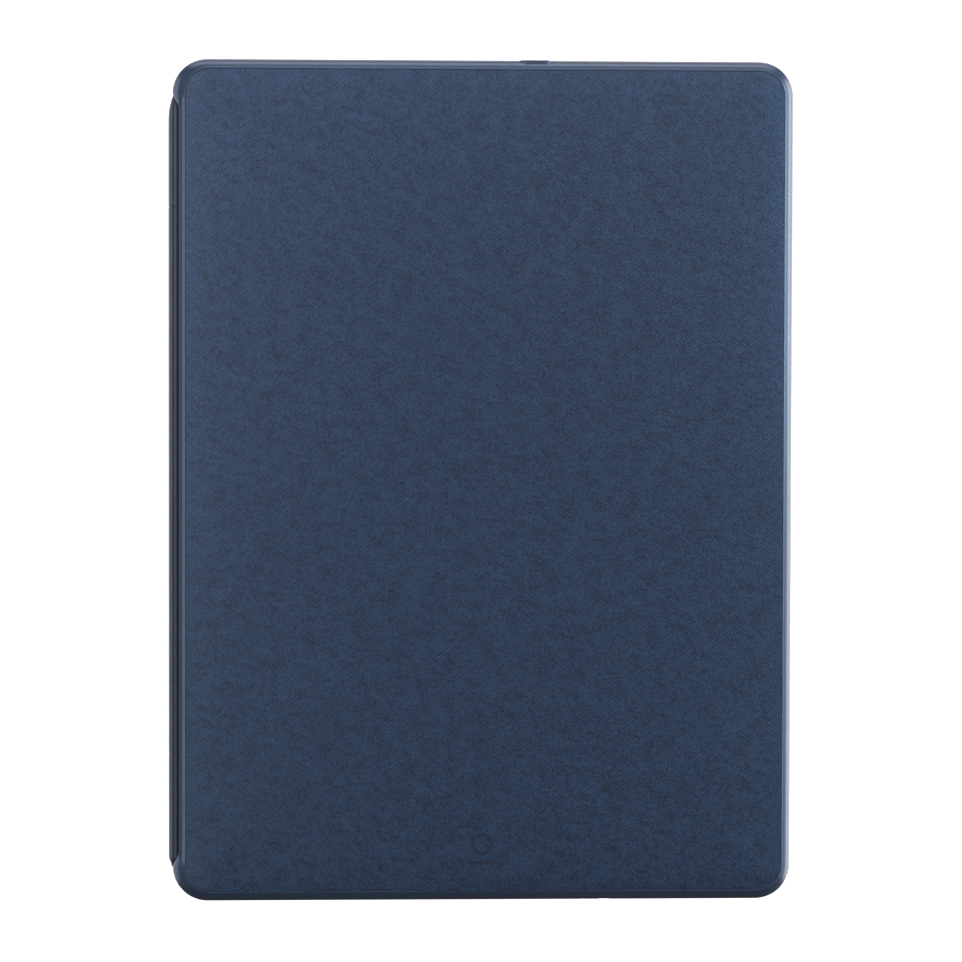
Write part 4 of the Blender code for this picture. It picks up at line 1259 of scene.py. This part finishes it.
# Softboxes: bearing, elevation, distance, the Y that they aim at, size (across, up), radiance
PANELS = {
    "left_low_upper": (180, 14, 0.6, 0.2, (0.4, 0.16), (3.0, 3.5, 4.2)),
    "left_low_lower": (180, 14, 0.6, -0.2, (0.4, 0.16), (2.3, 2.7, 3.2)),
    "left_high_upper": (180, 66, 0.6, 0.2, (0.4, 0.24), (2.4, 2.65, 3.5)),
    "left_high_lower": (180, 66, 0.6, -0.2, (0.4, 0.24), (1.3, 1.6, 1.9)),
    "left_foot": (180, -30, 0.6, 0, (0.8, 0.5), (1.8, 1.8, 2.0)),
    "right_floor_upper": (0, 4, 0.6, 0.2, (0.4, 0.16), (7.3, 4.1, 3.8)),
    "right_floor_lower": (0, 4, 0.6, -0.2, (0.4, 0.16), (8.8, 8.0, 5.4)),
    "right_low_upper": (0, 14, 0.6, 0.2, (0.4, 0.16), (7.5, 9.7, 11.3)),
    "right_low_lower": (0, 14, 0.6, -0.2, (0.4, 0.16), (0.8, 1.8, 4.2)),
    "right_middle_upper": (0, 52, 0.6, 0.2, (0.4, 0.24), (0.7, 1.9, 3.8)),
    "right_high_upper": (0, 66, 0.6, 0.2, (0.4, 0.24), (1.0, 0.6, 0.0)),
    "right_high_lower": (0, 66, 0.6, -0.2, (0.4, 0.24), (0.6, 0.75, 0.9)),
    "right_foot": (0, -30, 0.6, 0, (0.8, 0.5), (4.0, 4.0, 4.2)),
    "far_floor": (90, 4, 0.65, 0, (0.8, 0.16), (1.3, 0.4, 0.0)),
    "far_low": (90, 14, 0.65, 0, (0.8, 0.16), (3.7, 4.5, 5.5)),
    "far_high": (90, 60, 0.65, 0, (0.8, 0.24), (1.0, 1.3, 1.75)),
    "far_foot": (90, -30, 0.65, 0, (0.8, 0.3), (2.5, 2.5, 2.6)),
}
WORLD_STRENGTH = 0.16


def build_lights():
    world = bpy.data.worlds.new("studio")
    bpy.context.scene.world = world
    world.use_nodes = True
    background = world.node_tree.nodes["Background"]
    background.inputs["Color"].default_value = (1.0, 0.79, 0.60, 1.0)
    background.inputs["Strength"].default_value = WORLD_STRENGTH
    for name, settings in PANELS.items():
        add_panel(name, *settings)


CAMERA_AT = Vector((-0.058, 0.044, 1.2))
CAMERA_AIM = Vector((-0.0002, 0.0003, CASE_TOP))
CAMERA_ROLL = math.radians(0.14)
CAMERA_LENS = 148.2


def build_camera():
    camera = bpy.data.cameras.new("camera")
    camera.sensor_width = 36.0
    camera.lens = CAMERA_LENS
    camera.clip_start, camera.clip_end = 0.01, 100.0
    obj = add_object("camera", camera)
    back = (CAMERA_AT - CAMERA_AIM).normalized()
    right = Vector((0, 1, 0)).cross(back).normalized()
    up = back.cross(right)
    level = Matrix((right, up, back)).transposed()
    turned = level @ Matrix.Rotation(CAMERA_ROLL, 3, "Z")
    obj.matrix_world = Matrix.Translation(CAMERA_AT) @ turned.to_4x4()
    bpy.context.scene.camera = obj


def main():
    bpy.context.scene.view_settings.view_transform = "Standard"
    MATERIALS.update(make_materials())
    finish_cad_nodes()
    build_deck_cover()
    build_mark()
    build_spine()
    build_tray()
    build_frame()
    build_keys()
    build_deck_details()
    build_floor()
    build_lights()
    build_camera()


main()
